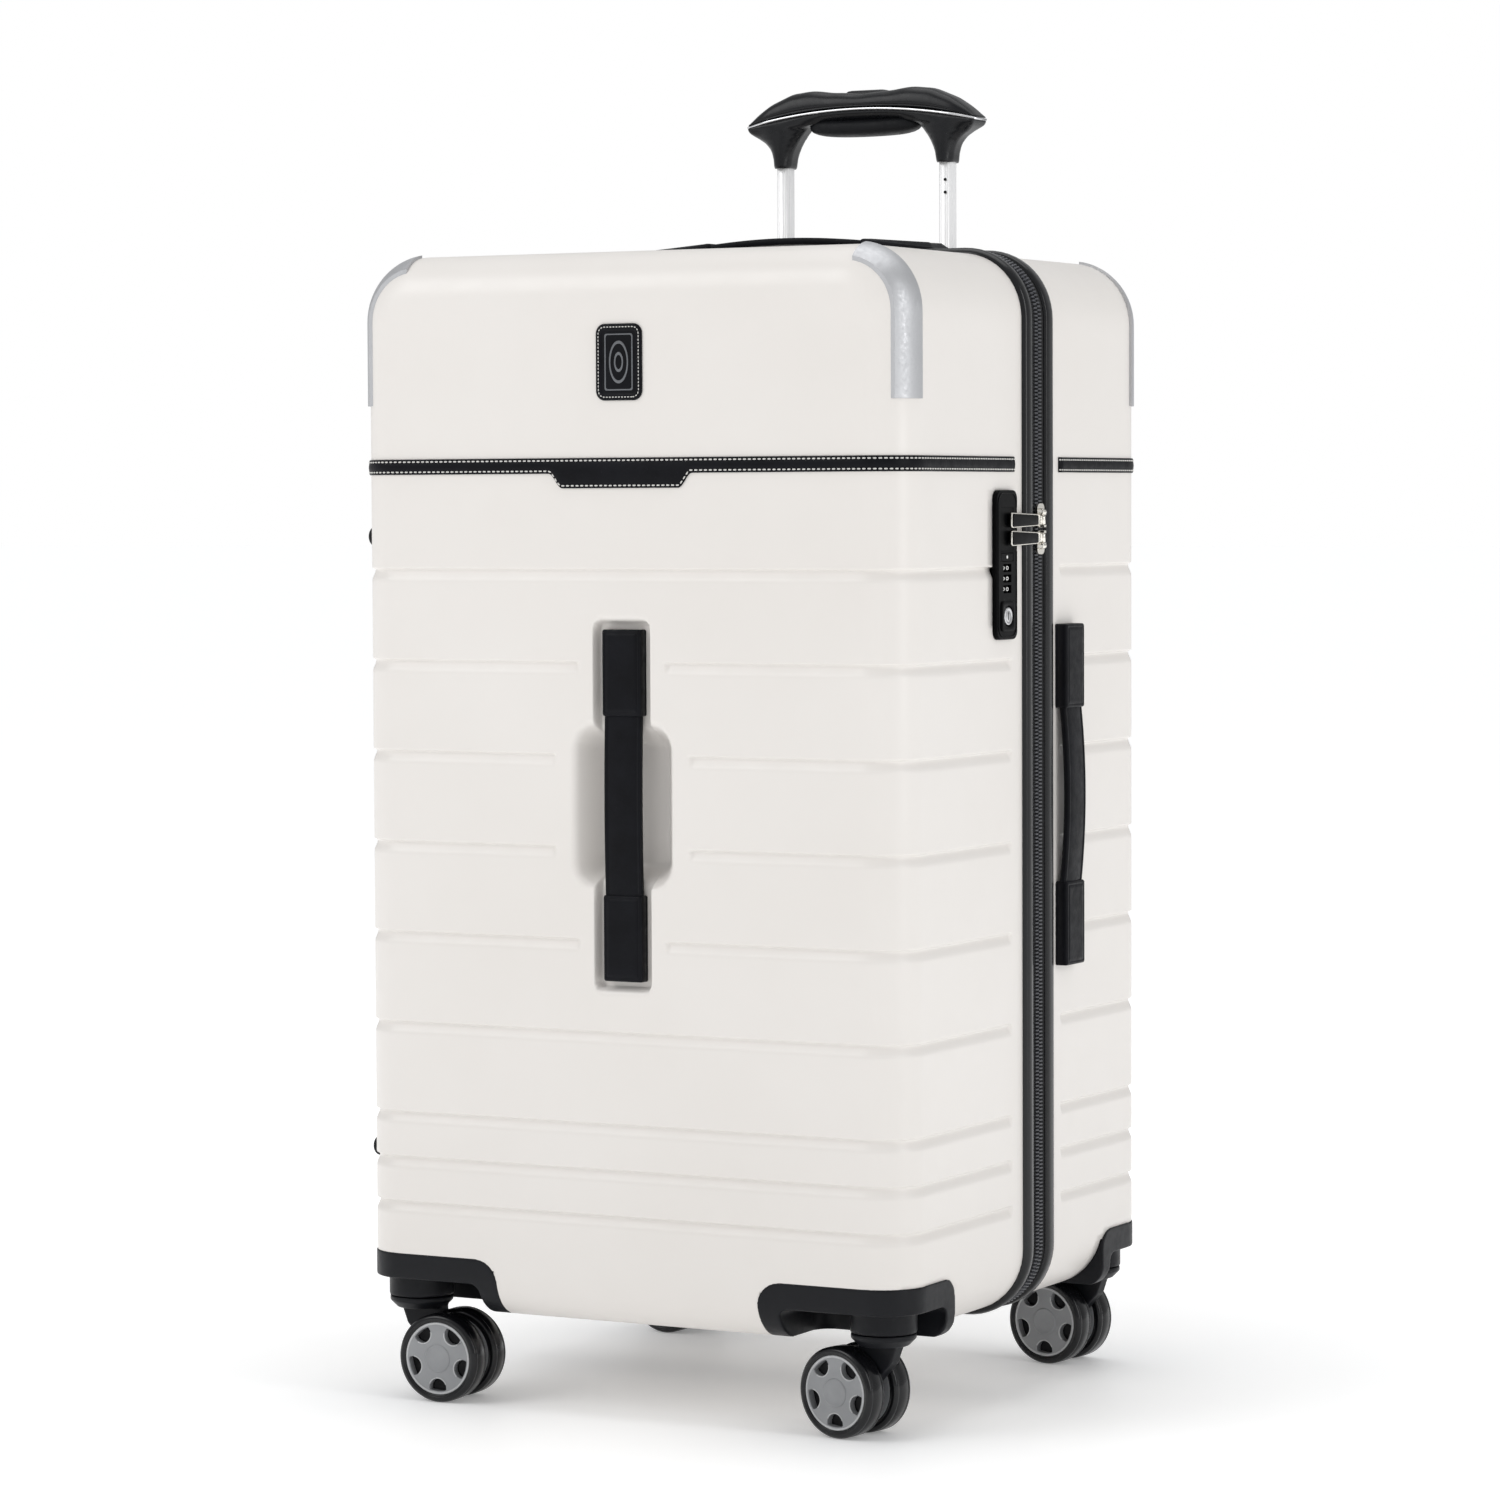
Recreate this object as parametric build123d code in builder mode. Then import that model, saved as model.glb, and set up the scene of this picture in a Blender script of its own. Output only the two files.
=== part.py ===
"""Four-wheel hard-shell trunk case, standing on its casters, with its pull handle part way up.

Frame: +Z up, +X to the lock side, -Y to the front. The origin is on the floor under the middle of the case.
All sizes are in millimetres.
"""

from build123d import *
import os

os.makedirs("parts", exist_ok=True)

# Case body
case_w = 413.0
case_d = 381.4
case_bottom = 62.0
case_top = 774.0
corner_r = 44.0
edge_r = 30.0
wall = 2.5

# Closure: the two shells meet at a band of rim, zip tape and rim
split_y = 10.0
band_half = 22.5
rim_w = 12.0
rim_proud = 3.5
rim_inset = 5.0
shell_into_rim = 8.0
tape_t = 1.2
coil_w = 3.0
coil_proud = 1.8
half_gap = 0.15

# Ribbing grooves round both shells
groove_top = 563.0
groove_pitch = 61.05
groove_steps = (0, 1, 2, 3, 4, 5, 6, 6.5, 7)
groove_h = 5.0
groove_deep = 1.2
groove_end_front = -27.4
groove_end_rear = 47.3

# Hinge along the left side
hinge_x = -211.5
hinge_low = 112.0
hinge_high = 724.0

# Trim
belt_z = 632.6
belt_h = 10.2
belt_t = 1.3
tab_top_half = 53.8
tab_low_half = 43.8
tab_low_z = 617.8
badge_w = 34.6
badge_h = 50.2
badge_z = 700.2
badge_t = 1.8
guard_t = 1.9
guard_low = 674.0
guard_tip_x = 168.0
guard_y_near = 164.0
guard_y_far = 184.0
foot_proud = 9.0
foot_r = 7.0
foot_y = 155.0
foot_zs = (169.0, 586.0)

# Carry handles, three alike; the top one stands on deeper caps and arches higher
handle_len = 232.0
handle_w = 29.0
handle_h = {"front": 9.0, "side": 9.0, "top": 13.5}
handle_lift = {"front": 0.0, "side": 0.0, "top": 4.5}
grip_bow = {"front": 1.2, "side": 3.0, "top": 4.5}
cap_len = 57.0
cap_wall = 1.5
tongue_w = 20.0
tongue_t = 2.5
tongue_len = 40.0
grip_w = 27.5
grip_low = 2.6
grip_high = 7.6
handle_z = 409.0
side_handle_y = 54.5
recess_w = 41.0
recess_len = 242.0
recess_deep = 8.4
pocket_w = 74.6
pocket_len = 107.4
pocket_deep = 27.0

# Pull handle
tube_x = 65.0
tube_y = 166.0
outer_tube = (15.0, 20.5)
middle_tube = (12.4, 17.9)
upper_tube = (9.8, 15.3)
tube_wall = 1.0
cup_w = 198.0
cup_d = 38.0
cup_floor = 718.0
cup_wall = 2.0
middle_low = 300.0
upper_low = 440.0
foot_top = 94.0
leg_low = 848.0
socket_top = 863.0

# Casters
kingpin_x = case_w / 2 - edge_r
kingpin_y = case_d / 2 - edge_r
wheel_r = 30.0
wheel_w = 17.0
tyre_t = 5.5
web_t = 9.4
trail = 24.0
hub_pocket_at = 20.0
hub_pocket_r = 6.4
hub_pocket_far = 22.3
boss_r = 22.0
boss_low = 70.0
kingpin_r = 4.0
axle_r = 3.0
fit_gap = 0.3
housing_len_x = 108.0
housing_len_y = 74.0
housing_top = 102.0
housing_low = 63.0
housing_wall = 3.0
casters = {
    "front_left": (-1, -1, 2.0),
    "front_right": (1, -1, 168.0),
    "rear_left": (-1, 1, -6.0),
    "rear_right": (1, 1, 172.0),
}

# Lock and zip pulls
lock_y = -42.2
lock_w = 32.0
lock_z = 566.0
lock_h = 99.0
lock_face = 210.0
lock_deep = 20.0
dial_r = 8.0
dial_t = 4.6
dial_pitch = 7.0
dial_z = 557.0
keyplug_z = 532.0
keyplug_r = 6.0
lock_button_z = 571.2
pull_zs = {"upper": 595.5, "lower": 583.5}
pull_t = 2.0
pull_len = 50.0
pull_pin_x = 212.2
pull_pin_y = 9.0

half_w = case_w / 2
half_d = case_d / 2
case_h = case_top - case_bottom
case_mid = (case_top + case_bottom) / 2
front_rim_y = split_y - band_half
rear_rim_y = split_y + band_half
groove_zs = [groove_top - groove_pitch * step for step in groove_steps]


def save(builder, name):
    """Labels a finished piece and writes it as one node."""
    builder.part.label = name
    export_step(builder.part, f"parts/{name}.step")


def box_between(low, high):
    """A box from its lowest corner to its highest."""
    size = [b - a for a, b in zip(low, high)]
    centre = [(a + b) / 2 for a, b in zip(low, high)]
    return Pos(*centre) * Box(*size, mode=Mode.PRIVATE)


def upright_disc(x, y, z, radius, height):
    """A short upright cylinder centred on a point."""
    return Pos(x, y, z) * Cylinder(radius, height, mode=Mode.PRIVATE)


def xz_plane(y):
    """The upright plane at depth y, seen from the front."""
    return Plane.XZ.offset(-y)


def case_block(grow, y_open, y_end, end_r):
    """The case's rounded outline, grown by grow, run from y_open to y_end with its far edge rounded by end_r."""
    with BuildPart() as block:
        with BuildSketch(xz_plane(y_open)):
            with Locations((0, case_mid)):
                RectangleRounded(case_w + 2 * grow, case_h + 2 * grow, corner_r + grow)
        extrude(amount=y_open - y_end)
        if end_r:
            fillet(block.faces().sort_by(Axis.Y)[0 if y_end < y_open else -1].edges(), end_r)
    return block.part


def half_skin(front, grow, sink):
    """The layer between grow outside the shell's surface and sink inside it, on the front or the rear half."""
    y_open, y_end, side = (split_y, -half_d, -1) if front else (split_y, half_d, 1)
    with BuildPart() as skin:
        add(case_block(grow, y_open, y_end + side * grow, edge_r + grow))
        add(case_block(-sink, y_open, y_end - side * sink, edge_r - sink), mode=Mode.SUBTRACT)
    return skin.part


def groove_cutter(front):
    """The grooves of one half, as a solid to take away from its shell."""
    y_low, y_high = (-case_d, groove_end_front) if front else (groove_end_rear, case_d)
    with BuildPart() as slabs:
        for z in groove_zs:
            add(box_between((-case_w, y_low, z - groove_h / 2), (case_w, y_high, z + groove_h / 2)))
        if front:
            for step, keep in ((1, 31.5), (2, 49.5), (3, 49.5), (4, 31.5)):
                z = groove_top - groove_pitch * step
                add(box_between((-keep, -case_d, z - groove_h), (keep, -half_d + edge_r, z + groove_h)),
                    mode=Mode.SUBTRACT)
        else:
            keep_y = handle_w / 2 + 4
            add(box_between((half_w - edge_r, side_handle_y - keep_y, handle_z - handle_len / 2 - 6),
                            (case_w, side_handle_y + keep_y, handle_z + handle_len / 2 + 6)), mode=Mode.SUBTRACT)
    return half_skin(front, 1.0, groove_deep) & slabs.part


def housing_zone(sx, sy, grow):
    """The corner region that a caster housing fills, grown by grow."""
    x_in, y_in = half_w - housing_len_x - grow, half_d - housing_len_y - grow
    top = housing_top + grow
    low = case_bottom - 20
    with BuildPart() as zone:
        with BuildSketch(xz_plane(-case_d)):
            with Locations((sx * (x_in + 100), (top + low) / 2)):
                RectangleRounded(200, top - low, 17)
        extrude(amount=-2 * case_d)
        with BuildSketch(Plane.YZ.offset(-case_w)):
            with Locations((sy * (y_in + 80), (top + low) / 2)):
                RectangleRounded(160, top - low, 13)
        extrude(amount=2 * case_w, mode=Mode.INTERSECT)
        add(box_between((min(0, sx * case_w), min(0, sy * case_d), low),
                        (max(0, sx * case_w), max(0, sy * case_d), top)), mode=Mode.INTERSECT)
    return zone.part


def handle_plane(where):
    """A carry handle's base: x along the handle, y across it and z outwards."""
    return {
        "front": Plane(origin=(0, -half_d + recess_deep, handle_z), x_dir=(0, 0, 1), z_dir=(0, -1, 0)),
        "side": Plane(origin=(half_w, side_handle_y, handle_z), x_dir=(0, 0, 1), z_dir=(1, 0, 0)),
        "top": Plane(origin=(0, side_handle_y, case_top), x_dir=(1, 0, 0), z_dir=(0, 0, 1)),
    }[where]


def screw_places():
    """Where each end cap's two screws stand, in the handle's own plane."""
    mid = handle_len / 2 - cap_len / 2
    return [(sign * (mid + off), 0) for sign in (-1, 1) for off in (-17, 17)]


def screw_holes(where, low, high, radius=1.6):
    """Cylinders for the holes or shanks of one handle's screws, from low to high above its base."""
    with BuildPart() as holes:
        with BuildSketch(handle_plane(where).offset(low)):
            with Locations(*screw_places()):
                Circle(radius)
        extrude(amount=high - low)
    return holes.part


# --- shells -----------------------------------------------------------------------------------------------------


def shell(front):
    """One half of the case: a rounded tray with grooves, and the holes that its fittings pass through."""
    side = -1 if front else 1
    y_edge = (front_rim_y + shell_into_rim) if front else (rear_rim_y - shell_into_rim)
    y_end = side * half_d
    with BuildPart() as tray:
        add(case_block(0, y_edge, y_end, edge_r))
        add(case_block(-wall, y_edge, y_end - side * wall, edge_r - wall), mode=Mode.SUBTRACT)
        if front:
            add(front_recess(wall))
            add(front_recess(0), mode=Mode.SUBTRACT)
            inside_lock = box_between((0, lock_y - lock_w / 2 + 2, lock_z - lock_h / 2 + 4),
                                      (case_w, lock_y + lock_w / 2 - 2, lock_z + lock_h / 2 - 4))
            add(inside_lock, mode=Mode.SUBTRACT)
            add(screw_holes("front", -wall - 1, 1), mode=Mode.SUBTRACT)
        else:
            cup = box_between((-cup_w / 2, tube_y - cup_d / 2, case_top - 60), (cup_w / 2, tube_y + cup_d / 2, 900))
            add(cup, mode=Mode.SUBTRACT)
            for where in ("side", "top"):
                add(screw_holes(where, -wall - 1, 1), mode=Mode.SUBTRACT)
        add(groove_cutter(front), mode=Mode.SUBTRACT)
        for sx in (-1, 1):
            add(housing_zone(sx, side, 0), mode=Mode.SUBTRACT)
    return tray


def front_recess(grow):
    """The slot and the finger pocket behind the front carry handle, grown by grow on every wall but the mouth."""
    with BuildPart() as recess:
        with BuildSketch(xz_plane(-half_d - (1 if not grow else -wall))):
            with Locations((0, handle_z)):
                RectangleRounded(recess_w + 2 * grow, recess_len + 2 * grow, 5 + grow)
        extrude(amount=-(recess_deep + (1 if not grow else 0)))
        with BuildSketch(xz_plane(-half_d - (1 if not grow else -wall))):
            with Locations((0, handle_z)):
                RectangleRounded(pocket_w + 2 * grow, pocket_len + 2 * grow, 20 + grow)
        extrude(amount=-(pocket_deep + (1 if not grow else 0)))
    return recess.part


def rim(front):
    """The U-section edging that holds a shell's edge and one side of the zip."""
    y_far = front_rim_y if front else rear_rim_y
    y_near = y_far + rim_w if front else y_far - rim_w
    groove_bottom = y_far + shell_into_rim if front else y_far - shell_into_rim
    with BuildPart() as ring:
        add(case_block(rim_proud, y_near, y_far, 0))
        outer = ring.faces().filter_by(Axis.Y).edges().filter_by(lambda edge: abs(edge.center().Y - y_far) < 12)
        fillet(outer, 2.6)
        add(case_block(-rim_inset, y_near + 1, y_far - 1, 0) if front
            else case_block(-rim_inset, y_near - 1, y_far + 1, 0), mode=Mode.SUBTRACT)
        lip = case_block(0, groove_bottom, y_far, 0) - case_block(-wall, groove_bottom, y_far, 0)
        add(lip, mode=Mode.SUBTRACT)
    return ring


def zip_half(front):
    """One side of the zip: a woven tape and its half of the coil, left out along the hinge."""
    y_rim = front_rim_y + rim_w if front else rear_rim_y - rim_w
    y_mid = split_y - half_gap if front else split_y + half_gap
    y_coil = y_mid - coil_w if front else y_mid + coil_w
    with BuildPart() as half:
        add(case_block(0.2, y_rim, y_mid, 0))
        add(case_block(coil_proud, y_coil, y_mid, 0))
        add(case_block(0.2 - tape_t, y_rim - 30, y_mid + 30, 0), mode=Mode.SUBTRACT)
        add(box_between((-case_w, -60, hinge_low), (0, 60, hinge_high)), mode=Mode.SUBTRACT)
    return half


front_shell = shell(True)
save(front_shell, "front_shell")
rear_shell = shell(False)
save(rear_shell, "rear_shell")
for is_front, half_name in ((True, "front"), (False, "rear")):
    save(rim(is_front), f"{half_name}_rim")
    save(zip_half(is_front), f"{half_name}_zip_tape")

with BuildPart() as hinge_gusset:
    gusset_low, gusset_high = split_y - band_half + rim_w, split_y + band_half - rim_w
    add(box_between((-half_w - 2.4, gusset_low, hinge_low + 0.5), (-half_w - 1.2, gusset_high, hinge_high - 0.5)))
save(hinge_gusset, "hinge_gusset")

# --- trim on the shells -----------------------------------------------------------------------------------------


def belt(front):
    """The leather band round one half, with the deeper tab in the middle of the front."""
    y_low, y_high = (-case_d, -25.9) if front else (45.3, case_d)
    low, high = belt_z - belt_h / 2, belt_z + belt_h / 2
    with BuildPart() as band:
        add(box_between((-case_w, y_low, low), (case_w, y_high, high)))
        if front:
            with BuildSketch(xz_plane(-case_d)):
                with BuildLine():
                    Polyline((-tab_top_half, low), (-tab_low_half, tab_low_z), (tab_low_half, tab_low_z),
                             (tab_top_half, low), (tab_top_half, high), (-tab_top_half, high), close=True)
                make_face()
            extrude(amount=-case_d)
        add(half_skin(front, belt_t, 0), mode=Mode.INTERSECT)
    return band


def guards(front):
    """The two chrome corner guards of one half, bent round the top corners of the outline."""
    y_low, y_high = (-guard_y_far, -guard_y_near) if front else (guard_y_near, guard_y_far)
    with BuildPart() as pair:
        for sx in (-1, 1):
            x_low, x_high = sorted((sx * guard_tip_x, sx * case_w))
            add(box_between((x_low, y_low, guard_low), (x_high, y_high, case_top + 20)))
        add(half_skin(front, guard_t, 0), mode=Mode.INTERSECT)
    return pair


def side_feet(front):
    """The two studs that the case lies on when it is put down on its left side."""
    with BuildPart() as feet:
        with BuildSketch(Plane.YZ.offset(-half_w)):
            with Locations(*[((-1 if front else 1) * foot_y, z) for z in foot_zs]):
                Circle(foot_r)
        extrude(amount=-foot_proud)
        fillet(feet.faces().sort_by(Axis.X)[:2].edges(), 3.5)
    return feet


for is_front, half_name in ((True, "front"), (False, "rear")):
    save(belt(is_front), f"{half_name}_belt")
    save(guards(is_front), f"{half_name}_corner_guards")
    save(side_feet(is_front), f"{half_name}_side_feet")

with BuildPart() as badge:
    with BuildSketch(xz_plane(-half_d)):
        with Locations((0, badge_z)):
            RectangleRounded(badge_w, badge_h, 6.5)
    extrude(amount=badge_t)
    fillet(badge.faces().sort_by(Axis.Y)[0].edges(), 0.8)
save(badge, "badge")

# --- carry handles ----------------------------------------------------------------------------------------------


def handle_caps(places):
    """End caps with a cavity for the grip's tongue, a pair for each place."""
    mid = handle_len / 2 - cap_len / 2
    with BuildPart() as caps:
        for where in places:
            base = handle_plane(where)
            with BuildSketch(base):
                with Locations((-mid, 0), (mid, 0)):
                    RectangleRounded(cap_len, handle_w, 1.5)
            extrude(amount=handle_h[where])
        top_edges = [caps.faces().sort_by(lambda f, w=w: -(handle_plane(w).to_local_coords(f.center())).Z)[:2]
                     for w in places]
        for faces in top_edges:
            fillet(faces.edges(), 1.2)
        for where in places:
            base = handle_plane(where)
            with BuildSketch(base.offset(cap_wall + handle_lift[where])):
                Rectangle(handle_len - 2 * cap_len + 2 * (tongue_len + 3), tongue_w + 2)
            extrude(amount=handle_h[where] - handle_lift[where] - 2 * cap_wall, mode=Mode.SUBTRACT)
            add(screw_holes(where, -1, cap_wall), mode=Mode.SUBTRACT)
    return caps


def handle_grip(where):
    """The bowed grip between two end caps, with a tongue at each end."""
    base = handle_plane(where)
    free = handle_len / 2 - cap_len - 0.4
    long_plane = Plane(origin=base.origin, x_dir=base.x_dir, z_dir=-base.y_dir)
    low, high = grip_low + handle_lift[where], grip_high + handle_lift[where]
    bow = grip_bow[where]
    with BuildPart() as grip:
        with BuildSketch(base.offset(cap_wall + handle_lift[where] + 0.3)):
            Rectangle(2 * (free + tongue_len), tongue_w)
        extrude(amount=tongue_t)
        with BuildSketch(long_plane):
            with BuildLine():
                Line((-free, low), (-free, high))
                ThreePointArc((-free, high), (0, high + bow), (free, high))
                Line((free, high), (free, low))
                ThreePointArc((free, low), (0, low + bow), (-free, low))
            make_face()
        extrude(amount=grip_w / 2, both=True)
    return grip


save(handle_caps(["front"]), "front_handle_caps")
save(handle_caps(["side", "top"]), "rear_handle_caps")
for place in ("front", "side", "top"):
    save(handle_grip(place), f"{place}_handle_grip")


def screws(places):
    """Pan-head screws that hold the end caps from inside the shell."""
    with BuildPart() as group:
        for where in places:
            add(screw_holes(where, -wall - 2.2, -wall, 3.4))
            add(screw_holes(where, -wall, cap_wall))
    return group


save(screws(["front"]), "front_screws")
save(screws(["side", "top"]), "rear_screws")

# --- caster housings and casters --------------------------------------------------------------------------------


def corner_room(sx, sy, low, high, side_r, top_r):
    """A rounded block to cut from a corner; its x and y are measured inwards from the corner's two faces."""
    with BuildPart() as room:
        add(box_between((half_w - high[0], half_d - high[1], low[2]), (half_w - low[0], half_d - low[1], high[2])))
        fillet(room.edges().filter_by(Axis.Z), side_r)
        if top_r:
            fillet(room.faces().sort_by(Axis.Z)[-1].edges(), top_r)
    block = room.part if sx > 0 else room.part.mirror(Plane.YZ)
    return block if sy > 0 else block.mirror(Plane.XZ)


def housing(sx, sy):
    """One corner moulding: it fills the shell's cut-out, arches over the wheels and carries the swivel boss."""
    with BuildPart() as block:
        with BuildSketch(Plane.XY.offset(housing_low)):
            RectangleRounded(case_w + 1.0, case_d + 1.0, edge_r + 0.5)
        extrude(amount=housing_top - housing_low)
        with BuildSketch(xz_plane(-case_d)):
            with Locations((0, case_mid)):
                RectangleRounded(case_w + 1.0, case_h, 15)
        extrude(amount=-2 * case_d, mode=Mode.INTERSECT)
        with BuildSketch(Plane.YZ.offset(-case_w)):
            with Locations((0, case_mid)):
                RectangleRounded(case_d + 1.0, case_h, edge_r)
        extrude(amount=2 * case_w, mode=Mode.INTERSECT)
        add(housing_zone(sx, sy, -0.2), mode=Mode.INTERSECT)
        add(corner_room(sx, sy, (-8, -8, 0), (housing_len_x - 16, housing_len_y - 12, 84), 14, 5), mode=Mode.SUBTRACT)
        skin = edge_r * 0.35
        add(corner_room(sx, sy, (skin, skin, 87), (housing_len_x - housing_wall, housing_len_y - housing_wall, 120), 8, 0),
            mode=Mode.SUBTRACT)
        with BuildSketch(Plane.XY.offset(boss_low)):
            with Locations((sx * kingpin_x, sy * kingpin_y)):
                Circle(boss_r)
        extrude(amount=98 - boss_low)
        with BuildSketch(Plane.XY.offset(boss_low)):
            with Locations((sx * kingpin_x, sy * kingpin_y)):
                Circle(kingpin_r + fit_gap)
        extrude(amount=24, mode=Mode.SUBTRACT)
    return block.part


for is_front, half_name in ((True, "front"), (False, "rear")):
    with BuildPart() as housings:
        for side_x in (-1, 1):
            add(housing(side_x, -1 if is_front else 1))
    save(housings, f"{half_name}_caster_housings")


def caster_fork():
    """Swivel disc, single web down to the axle, and the steel kingpin and axle pressed into them."""
    with BuildPart() as fork:
        with BuildSketch(Plane.XY.offset(boss_low - 0.5)):
            Circle(boss_r - 0.5)
        extrude(amount=-3.0)
        with BuildSketch(Plane.XY.offset(boss_low - 3.5)):
            Circle(boss_r - 0.5)
        extrude(amount=-5.0, taper=45)
        with BuildSketch(Plane.XZ):
            with BuildLine():
                Polyline((-15, boss_low - 4), (-9, 50), (trail - 8, wheel_r - 6), (trail + 8, wheel_r - 3),
                         (trail + 9.5, wheel_r + 5), (19, 52), (18, boss_low - 4), close=True)
            make_face()
        extrude(amount=web_t / 2, both=True)
        fillet(fork.edges().filter_by(Axis.Y).group_by(Axis.Z)[0], 6)
        with BuildSketch(Plane.XZ):
            with Locations((trail, wheel_r)):
                Circle(axle_r)
        extrude(amount=web_t, both=True, mode=Mode.SUBTRACT)
        with BuildSketch(Plane.XY.offset(boss_low)):
            Circle(kingpin_r)
        extrude(amount=-12, mode=Mode.SUBTRACT)
    with BuildPart() as pins:
        with BuildSketch(Plane.XZ):
            with Locations((trail, wheel_r)):
                Circle(axle_r)
        extrude(amount=web_t / 2 + wheel_w - 3, both=True)
        with BuildSketch(Plane.XY.offset(boss_low - 12)):
            Circle(kingpin_r)
        extrude(amount=34)
    return [fork.part] + list(pins.part.solids())


def wheel_ring(y_start, y_end, r_in, r_out, soft):
    """A ring about the axle, from y_start to y_end, with soft outer edges."""
    with BuildPart() as ring:
        with BuildSketch(Plane.XZ.offset(-y_start)):
            with Locations((trail, wheel_r)):
                Circle(r_out)
        extrude(amount=y_start - y_end)
        fillet(ring.edges(), soft)
        with BuildSketch(Plane.XZ.offset(-y_start + 1)):
            with Locations((trail, wheel_r)):
                Circle(r_in)
        extrude(amount=y_start - y_end - 2, mode=Mode.SUBTRACT)
    return ring.part


def caster_tyres():
    """Both tyres of one caster."""
    near = web_t / 2 + 0.3
    right = wheel_ring(near, near + wheel_w, wheel_r - tyre_t, wheel_r, 2.2)
    return [right, mirror(right, Plane.XZ)]


def caster_hubs():
    """Both wheel hubs of one caster, with five pockets in each outer face."""
    near = web_t / 2 + 0.5
    far = near + wheel_w - 1.0
    with BuildPart() as hub:
        with BuildSketch(Plane.XZ.offset(-near)):
            with Locations((trail, wheel_r)):
                Circle(wheel_r - tyre_t)
                Circle(axle_r + fit_gap, mode=Mode.SUBTRACT)
        extrude(amount=near - far)
        with BuildSketch(Plane.XZ.offset(-far)):
            with Locations((trail, wheel_r)):
                with PolarLocations(hub_pocket_at, 5, start_angle=-90):
                    Circle(hub_pocket_r)
                Circle(hub_pocket_far, mode=Mode.INTERSECT)
        extrude(amount=9, mode=Mode.SUBTRACT)
        with BuildSketch(Plane.XZ.offset(-far)):
            with Locations((trail, wheel_r)):
                Circle(axle_r + 3)
        extrude(amount=2)
    return [hub.part, mirror(hub.part, Plane.XZ)]


fork_solids = caster_fork()
tyre_solids = caster_tyres()
hub_solids = caster_hubs()
for corner, (side_x, side_y, turn) in casters.items():
    stand = Location((side_x * kingpin_x, side_y * kingpin_y, 0), (0, 0, turn))
    for kind, solids in (("fork", fork_solids), ("tyres", tyre_solids), ("hubs", hub_solids)):
        with BuildPart() as piece:
            for solid in solids:
                add(stand * solid, mode=Mode.ADD if kind != "fork" else Mode.PRIVATE)
            if kind == "fork":
                group = Compound(children=[stand * solid for solid in solids])
        if kind == "fork":
            group.label = f"{corner}_caster_fork"
            export_step(group, f"parts/{corner}_caster_fork.step")
        else:
            save(piece, f"{corner}_caster_{kind}")

# --- pull handle ------------------------------------------------------------------------------------------------


def tube_pair(size, low, high, hollow=True):
    """Two upright oval tubes at the pull handle's places."""
    with BuildPart() as pair:
        with BuildSketch(Plane.XY.offset(low)):
            with Locations((-tube_x, tube_y), (tube_x, tube_y)):
                RectangleRounded(*size, 3.5)
                if hollow:
                    RectangleRounded(size[0] - 2 * tube_wall, size[1] - 2 * tube_wall, 2.5, mode=Mode.SUBTRACT)
        extrude(amount=high - low)
    return pair


save(tube_pair(outer_tube, foot_top - 14, cup_floor - cup_wall), "trolley_outer_tubes")
save(tube_pair(middle_tube, middle_low, cup_floor + 1.5), "trolley_middle_tubes")
save(tube_pair(upper_tube, upper_low, socket_top), "trolley_upper_tubes")

with BuildPart() as trolley_cup:
    add(box_between((-cup_w / 2, tube_y - cup_d / 2, cup_floor - cup_wall),
                    (cup_w / 2, tube_y + cup_d / 2, case_top + 1.8)))
    fillet(trolley_cup.edges().filter_by(Axis.Z), 6)
    add(case_block(1.8, split_y, half_d + 1.8, edge_r + 1.8), mode=Mode.INTERSECT)
    with BuildSketch(Plane.XY.offset(cup_floor)):
        with Locations((0, tube_y)):
            RectangleRounded(cup_w - 2 * cup_wall, cup_d - 2 * cup_wall, 4.5)
    extrude(amount=80, mode=Mode.SUBTRACT)
    with BuildSketch(Plane.XY.offset(cup_floor - 5)):
        with Locations((-tube_x, tube_y), (tube_x, tube_y)):
            RectangleRounded(middle_tube[0] + 0.7, middle_tube[1] + 0.7, 3.7)
    extrude(amount=10, mode=Mode.SUBTRACT)
save(trolley_cup, "trolley_cup")

with BuildPart() as trolley_foot:
    add(box_between((-tube_x - 20, 152, case_bottom + wall), (tube_x + 20, 179, foot_top)))
    low_edge = trolley_foot.edges().filter_by(Axis.X).sort_by(lambda edge: edge.center().Y - edge.center().Z)[-1]
    fillet(low_edge, 19.5)
    with BuildSketch(Plane.XY.offset(foot_top - 14)):
        with Locations((-tube_x, tube_y), (tube_x, tube_y)):
            RectangleRounded(*outer_tube, 3.5)
    extrude(amount=20, mode=Mode.SUBTRACT)
    add(box_between((-tube_x + 20, 150, case_bottom + wall + 10), (tube_x - 20, 190, 100)), mode=Mode.SUBTRACT)
save(trolley_foot, "trolley_foot")

seam_end, seam_mid, seam_half, seam_t = 878.0, 888.0, 91.0, 1.0
trolley_plane = xz_plane(tube_y)


def seam_arc(raise_by, half=seam_half):
    """The curve along which the grip's covers meet, raised by raise_by."""
    return ThreePointArc((-half, seam_end + raise_by), (0, seam_mid + raise_by), (half, seam_end + raise_by))


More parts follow.
